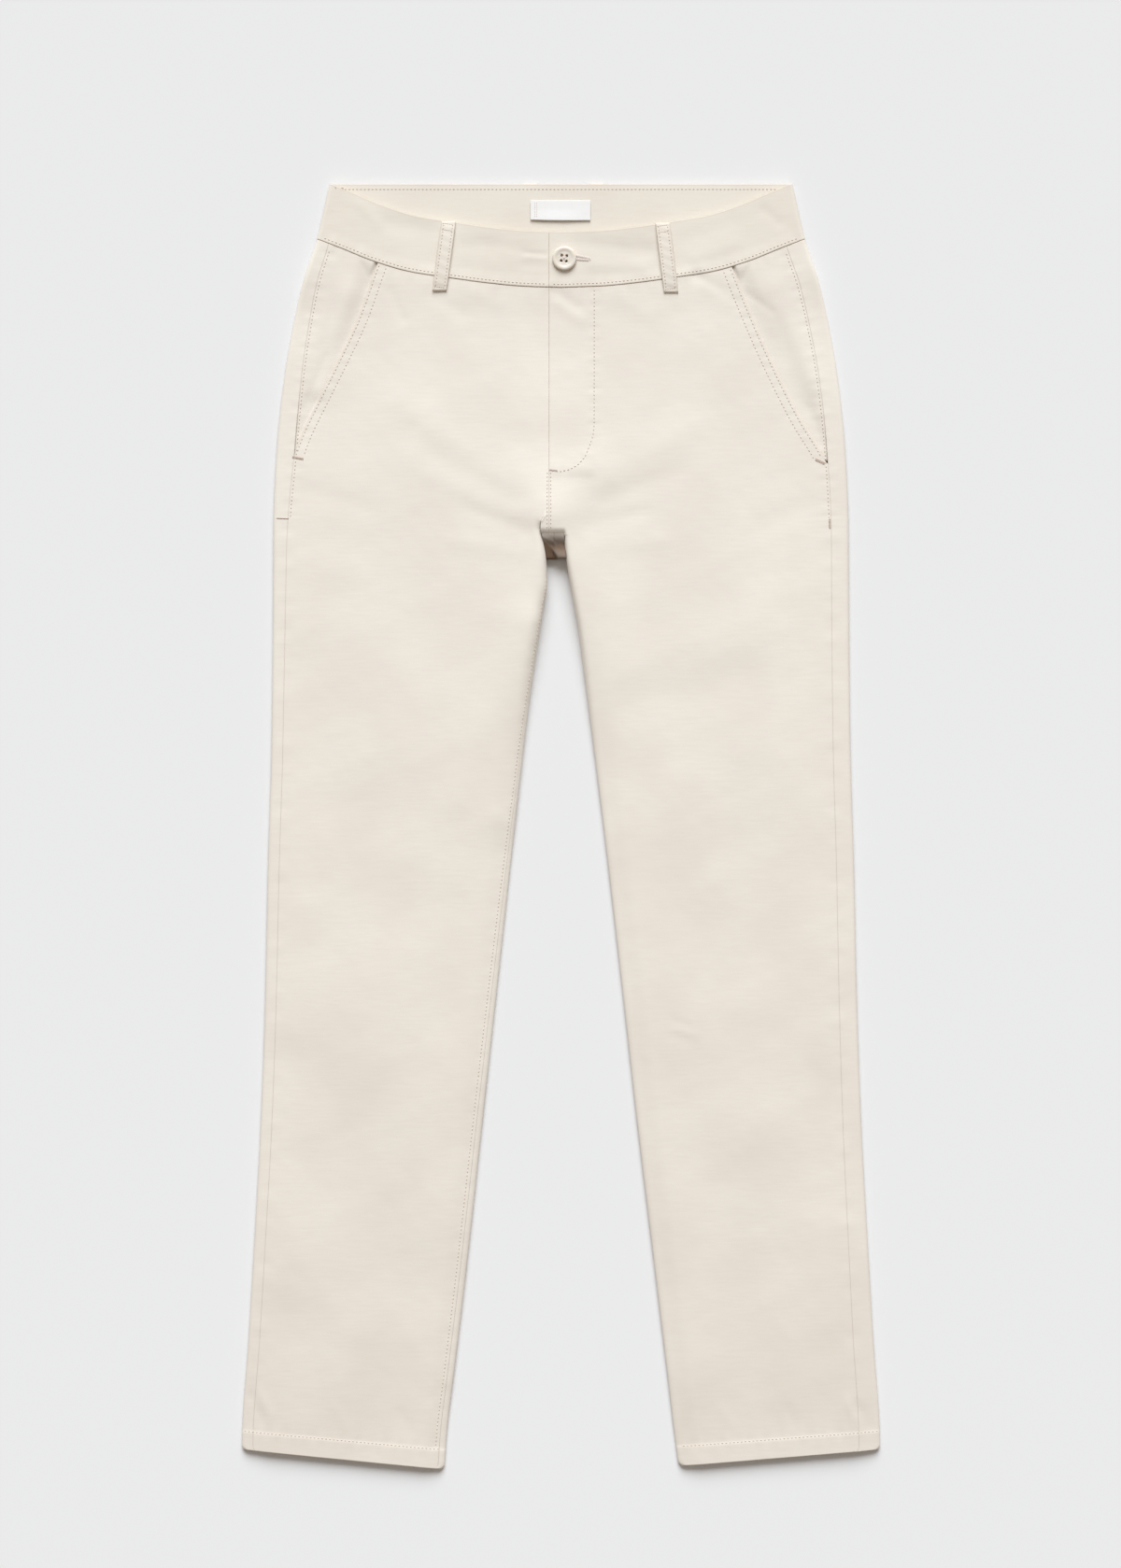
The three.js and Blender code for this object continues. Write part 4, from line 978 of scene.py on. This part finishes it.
def front_loop(name):
    side = SIDES[name]
    line, t = loop_line(name)
    across = np.concatenate([[-1, -0.95, -0.88, -0.8, -0.7], np.linspace(-0.6, 0.6, 13),
                             [0.7, 0.8, 0.88, 0.95, 1]])
    rib = 0.22 * np.exp(-((np.abs(across) - 0.86) / 0.12) ** 2)
    rib -= 0.12 * np.exp(-((np.abs(across) - 0.66) / 0.1) ** 2)
    height = top_height(side, line[:, 0], line[:, 1])
    arch = 1.1 * np.sin(math.pi * t) ** 0.8
    tacks = sum(np.exp(-((t - at) / 0.03) ** 2) for at in (0.04, 0.94))
    x = line[:, :1] + across * LOOP_WIDTH / 2 * (1 - 0.03 * tacks[:, None])
    z = (height + SEAM_GAP + 0.15 + LOOP_CLOTH + arch)[:, None] + rib
    z = z - 0.18 * tacks[:, None] * (np.abs(across) < 0.9)
    points = np.stack([x, line[:, 1:] + 0 * x, z + 0.06 * np.sin(line[:, 1:] * 0.9 + 2 * across)], -1)
    points, faces, shade = Sheet().grid(points, True, FREE).wall(LOOP_CLOTH, 0.55)
    return carried_over(make_mesh(f"front_loop_{name}", points, faces, loop_cloth, shade),
                        f"belt_loop_front_{name}")


def back_loop(name):
    """Flat under the back band, its upper end turned just past the band's top edge."""
    middle = BACK_LOOPS[name]
    across = np.concatenate([[-1, -0.95, -0.85], np.linspace(-0.7, 0.7, 9), [0.85, 0.95, 1]])
    y = np.concatenate([[WAIST_TOP_Y + 1.1, WAIST_TOP_Y + 0.95, WAIST_TOP_Y + 0.5], np.linspace(480, 431, 42),
                        [430, 429.3, 429]])
    x = middle + across * LOOP_WIDTH / 2
    z = 0.04 * (1 - np.cos(np.linspace(0, 14, len(y))))
    grid_x, grid_y = np.meshgrid(x, y)
    lip = np.where(grid_y > WAIST_TOP_Y + 0.3, 0.5 * (grid_y - WAIST_TOP_Y - 0.3), 0)
    points = np.stack([grid_x, grid_y, z[:, None] + lip + 0 * grid_x], -1)
    points, faces, shade = Sheet().grid(points, False, FREE).wall(LOOP_CLOTH, 0.5)
    return carried_over(make_mesh(f"back_loop_{name}", points, faces, loop_cloth, shade),
                        f"belt_loop_back_{name}")


LABEL_X, LABEL_Y, LABEL_WIDTH, LABEL_HEIGHT, LABEL_CLOTH = -0.4, 462.0, 45.0, 14.7, 0.55


def label():
    """The bare woven label: its lower edge a little loose."""
    u = np.concatenate([[-1, -0.993, -0.98], np.linspace(-0.96, 0.96, 56), [0.98, 0.993, 1]])
    v = np.concatenate([[1, 0.98, 0.95], np.linspace(0.9, -0.9, 18), [-0.95, -0.98, -1]])
    across, down = np.meshgrid(u, v)
    loose = np.clip(1 - (across + 0.15) ** 2 * 1.05, 0, 1) * smooth(-down, -0.2, 1)
    x = LABEL_X + across * LABEL_WIDTH / 2
    y = LABEL_Y + down * LABEL_HEIGHT / 2 - 0.35 * loose - 0.25 * across * smooth(-down, 0, 1)
    z = BAND_BASE + BAND_CLOTH + 0.35 + LABEL_CLOTH + 0.4 * loose
    z = z + 0.08 * np.sin(across * 9) * (1 - np.abs(across))
    points, faces, shade = Sheet().grid(np.stack([x, y, z], -1), False, FREE).wall(LABEL_CLOTH, 0.25)
    return carried_over(make_mesh("bare_label", points, faces, tape, shade), "waist_label")


BUTTON_X, BUTTON_Y = 2.5, 425.3
BUTTON_DISH = 2.19
BUTTON_HOLES = [(-1.75, 2.0), (1.8, 1.7), (-2.1, -1.75), (1.4, -2.2)]
BUTTON_BASE = BAND_HEIGHT + FLY_RAISE + 0.15


def button():
    """A turned button: rolled rim, shallow dish and four holes with their edges eased."""
    angles = np.linspace(0, 2 * math.pi, 97)[:-1]
    # radius, height of the outside profile from the underside's middle round the rim to the dish
    profile = [(0.02, 0), (4, 0), (7.6, 0.05), (8.4, 0.3), (8.85, 0.8), (9, 1.4), (8.95, 1.8), (8.75, 2.2),
               (8.4, 2.5), (7.9, 2.66), (7.3, 2.7), (6.8, 2.65), (6.3, 2.53), (5.8, 2.38), (5.3, 2.26),
               (4.8, 2.21), (4.2, 2.2), (3.6, BUTTON_DISH)]
    rings = [np.stack([r * np.cos(angles), r * np.sin(angles), z + 0 * angles], -1) for r, z in profile]
    for r in np.linspace(3.3, 0.05, 24):
        rings.append(np.stack([r * np.cos(angles), r * np.sin(angles), BUTTON_DISH + 0 * angles], -1))
    points = np.array(rings)
    # painted shade: marks the holes' insides, which the material colours dark brown
    inside = np.zeros(points.shape[:2])
    for hx, hy in BUTTON_HOLES:
        away = np.hypot(points[..., 0] - hx, points[..., 1] - hy)
        deep = (1 - smooth(away, 0.8, 1.15)) * (points[..., 2] > 1.9)
        points[..., 2] -= 1.95 * deep
        inside = np.maximum(inside, (1 - smooth(away, 0.7, 1.05)) * (points[..., 2] < 1.9) * (away < 1.2))
    inside = np.concatenate([inside, inside[:, :1]], 1)
    points = np.concatenate([points, points[:, :1]], 1) + [BUTTON_X, BUTTON_Y, BUTTON_BASE]
    sheet = Sheet().grid(points, True)
    _, first, index = np.unique(np.round(points.reshape(-1, 3) * 1e4).astype(np.int64), axis=0,
                                return_index=True, return_inverse=True)
    faces = index.reshape(-1)[np.concatenate(sheet.quads)]
    return carried_over(make_mesh("four_hole_button", points.reshape(-1, 3)[first], faces, resin,
                                  inside.reshape(-1)[first], walled=False), "waist_button")


pieces = {}
for half, half_side in SIDES.items():
    pieces[f"front_{half}"] = front_panel(half, half_side)
    pieces[f"back_{half}"] = back_panel(half, half_side)
    pieces[f"facing_{half}"] = pocket_facing(half, half_side)
    pieces[f"band_{half}"] = waistband(half, half_side)
    pieces[f"loop_{half}"] = front_loop(half)
    pieces[f"back_loop_{half}"] = back_loop(half)
pieces["label"] = label()
pieces["button"] = button()


# Thread

class Cloth:
    """The surface of some pieces, to lay thread on."""

    def __init__(self, names):
        points, faces = [], []
        for name in names:
            mesh = pieces[name].data
            co = np.empty(len(mesh.vertices) * 3)
            mesh.vertices.foreach_get("co", co)
            faces += [[v + len(points) for v in p.vertices] for p in mesh.polygons]
            points += co.reshape(-1, 3).tolist()
        self.tree = BVHTree.FromPolygons(points, faces)

    def hit(self, x, y, above=True):
        start = Vector((x * MM, y * MM, 0.05 if above else -0.05))
        place, normal, _, _ = self.tree.ray_cast(start, Vector((0, 0, -1 if above else 1)))
        if place is None:
            return None
        if (normal.z > 0) != above:
            normal = -normal
        return np.array(place) / MM, np.array(normal)


BODY = Cloth(["front_right", "front_left", "back_right", "back_left", "band_right", "band_left",
              "facing_right", "facing_left"])
LOOPS = Cloth(["loop_right", "loop_left", "back_loop_right", "back_loop_left"])

RINGS = [(-1.0, 0.3), (-0.74, 0.95), (-0.25, 1.08), (0.25, 1.08), (0.74, 0.95), (1.0, 0.3)]
STITCH_SIDES = 6


class Thread:
    """Many short stitches, joined in one mesh."""

    def __init__(self):
        self.points, self.faces, self.count = [], [], 0

    def stitch(self, a, b, normal, radius=0.29, lift=0.05, arch=0.0):
        a, b = np.array(a, float), np.array(b, float)
        along = b - a
        length = np.linalg.norm(along)
        if length < 0.05:
            return
        along = along / length
        side = np.cross(normal, along)
        side /= np.linalg.norm(side)
        up = np.cross(along, side)
        middle = (a + b) / 2 + up * (lift + radius * 0.35)
        turn = np.arange(STITCH_SIDES) * 2 * math.pi / STITCH_SIDES
        for place, size in RINGS:
            centre = middle + along * place * length / 2
            centre = centre + up * arch * (1 - place * place) - up * 0.12 * (place * place)
            for t in turn:
                self.points.append(centre + radius * size * (side * math.cos(t) + up * 0.8 * math.sin(t)))
        n, base = STITCH_SIDES, self.count
        for r in range(len(RINGS) - 1):
            for k in range(n):
                low, high, beside = base + r * n, base + (r + 1) * n, (k + 1) % n
                self.faces.append((low + k, low + beside, high + beside, high + k))
        for r in (0, len(RINGS) - 1):
            for k in range(0, n - 2, 2):
                quad = (base + r * n, base + r * n + k + 1, base + r * n + k + 2, base + r * n + (k + 3) % n)
                self.faces.append(quad if r else quad[::-1])
        self.count += len(RINGS) * n

    def row(self, seam, surface, pitch=2.9, share=0.5, radius=0.31):
        """A row of even stitches along a sewn line, lying in the cloth."""
        count = int(seam.length / pitch)
        for i in range(count):
            middle = (i + 0.5) * pitch
            ends = [surface.hit(*seam.place(middle + k * pitch * share / 2), seam.above) for k in (-1, 1)]
            if None in ends:
                continue
            (a, normal), (b, _) = ends
            if abs(a[2] - b[2]) < 1.2:
                self.stitch(a, b, normal, radius)

    def bartack(self, surface, a, b, width=1.7, above=True, pitch=0.45):
        """Dense zigzag over a short line from a to b."""
        a, b = np.array(a, float), np.array(b, float)
        length = np.linalg.norm(b - a)
        along = (b - a) / length
        across = np.array([-along[1], along[0]])
        count = int(length / pitch)
        for i in range(count):
            middle = a + along * (i + 0.5) * pitch
            slant = along * pitch * (0.5 if i % 2 else -0.5)
            ends = [surface.hit(*(middle + k * (across * width / 2 + slant)), above) for k in (-1, 1)]
            if None in ends or abs(ends[0][0][2] - ends[1][0][2]) > 1.4:
                continue
            self.stitch(ends[0][0], ends[1][0], ends[0][1], 0.2, 0.12, 0.1)

    def finish(self, name, material):
        return make_mesh(name, np.array(self.points), np.array(self.faces), material, walled=False)


rows = Thread()
for seam in SEAMS:
    if seam.stitched:
        rows.row(seam, BODY)
tacks = Thread()

# belt loops: a row near each edge, and short bars near the top and at the foot
LOOP_ROW = 3.4
LOOP_BAR = (1.6, 0.7, 0.24)
for half in SIDES:
    line, _ = loop_line(half)
    for inset in (-LOOP_ROW, LOOP_ROW):
        rows.row(Seam("loop", line[2:-2] + [inset, 0]), LOOPS, 2.5)
    direction = (line[-1] - line[0]) / np.linalg.norm(line[-1] - line[0])
    for share in (0.04, 0.13, 0.94):
        centre = line[0] + (line[-1] - line[0]) * share
        across = np.array([-direction[1], direction[0]]) * 4.5
        rows.row(Seam("loop_bar", [centre - across, centre + across]), LOOPS, *LOOP_BAR)
    middle = BACK_LOOPS[half]
    for inset in (-LOOP_ROW, LOOP_ROW):
        rows.row(Seam("loop", [(middle + inset, 478), (middle + inset, 432)], above=False), LOOPS, 2.5)
    for y in (476, 433.5):
        rows.row(Seam("loop_bar", [(middle - 4.6, y), (middle + 4.6, y)], above=False), LOOPS, *LOOP_BAR)

# bartacks at the pocket ends, the side seams and the fly: x and y of both ends
TACKS = [
    (-201.3, 277, -192.5, 275.4, 2.6), (190.6, 275.2, 197.8, 272, 2.8), (-213, 231.2, -204, 230.8, 1.1),
    (201.2, 230.6, 201.4, 223, 1.6), (-8.6, 266.9, -2.6, 266.3, 1.6), (-169, 478.6, -163, 478.8, 1.8),
    (162.5, 478.2, 169, 479, 2),
]
for ax, ay, bx, by, width in TACKS:
    tacks.bartack(BODY, (ax, ay), (bx, by), width)

# the label's sewn end
label_surface = Cloth(["label"])
for x in (-19.6, -18.1):
    rows.row(Seam("label", [(x, 468), (x, 456.5)]), label_surface, 1.6, 0.8, 0.16)

# buttonhole: close bars on both sides of its slit, nearing each other at its end
hole = Thread()
HOLE_A, HOLE_B = np.array([9.0, 426.5]), np.array([21.2, 424.7])
hole_along = (HOLE_B - HOLE_A) / np.linalg.norm(HOLE_B - HOLE_A)
hole_across = np.array([-hole_along[1], hole_along[0]])
for k in (-1, 1):
    hole.bartack(BODY, HOLE_A + hole_across * k * 1.5, HOLE_B + hole_across * k * 0.7, 2.3, pitch=0.4)
bar_ends = [HOLE_B + hole_across * k + hole_along * 0.5 for k in (-0.7, 0.7)]
hole.bartack(BODY, *bar_ends, 1.0, pitch=0.4)
tacks.row(Seam("slit", [HOLE_A, HOLE_B - hole_along * 3]), BODY, 1.5, 0.9, 0.16)

# thread between the button's holes
for (ax, ay), (bx, by) in ((BUTTON_HOLES[0], BUTTON_HOLES[3]), (BUTTON_HOLES[1], BUTTON_HOLES[2])):
    z = BUTTON_BASE + BUTTON_DISH - 0.35
    for shift in (-0.16, 0.16):
        hole.stitch((BUTTON_X + ax, BUTTON_Y + ay + shift, z), (BUTTON_X + bx, BUTTON_Y + by + shift, z),
                    (0, 0, 1), 0.17, 0.1, 0.5)

rows.finish("stitch_rows", thread)
tacks.finish("bartacks", dark_thread)
hole.finish("buttonhole_and_button_thread", pale_thread)

# Floor, light and camera

FLOOR_REACH, FLOOR_Z = 6.0, -0.0003
floor_mesh = bpy.data.meshes.new("floor")
floor_corners = [(x * FLOOR_REACH, y * FLOOR_REACH, FLOOR_Z) for x, y in ((-1, -1), (1, -1), (1, 1), (-1, 1))]
floor_mesh.from_pydata(floor_corners, [], [(0, 1, 2, 3)])
floor = bpy.data.objects.new("floor", floor_mesh)
bpy.context.scene.collection.objects.link(floor)
floor_material = bpy.data.materials.new("floor_paper")
floor_material.use_nodes = True
floor_shader = floor_material.node_tree.nodes["Principled BSDF"]
floor_shader.inputs["Base Color"].default_value = (0.8, 0.8, 0.8, 1)
floor_shader.inputs["Roughness"].default_value = 0.9
floor_shader.inputs["Specular IOR Level"].default_value = 0.1
floor_mesh.materials.append(floor_material)

scene = bpy.context.scene
world = bpy.data.worlds.new("studio")
scene.world = world
world.use_nodes = True
world.node_tree.nodes["Background"].inputs[0].default_value = (1.0, 0.9, 0.8, 1)
world.node_tree.nodes["Background"].inputs[1].default_value = 0.34

sun = bpy.data.objects.new("soft_window", bpy.data.lights.new("soft_window", "SUN"))
scene.collection.objects.link(sun)
sun.data.energy = 4.21
sun.data.angle = math.radians(42)
sun.data.color = (0.904, 0.951, 1.0)
toward = Vector((0.0, 0.82, 0.57)).normalized()
sun.rotation_mode = "QUATERNION"
sun.rotation_quaternion = toward.to_track_quat("Z", "Y")

camera = bpy.data.objects.new("camera", bpy.data.cameras.new("camera"))
scene.collection.objects.link(camera)
camera.location = (-0.00035, 0.03185, 3.0)
camera.data.lens = 91.74
camera.data.sensor_width = 36
camera.data.clip_start, camera.data.clip_end = 0.1, 20
scene.camera = camera
scene.view_settings.view_transform = "Standard"
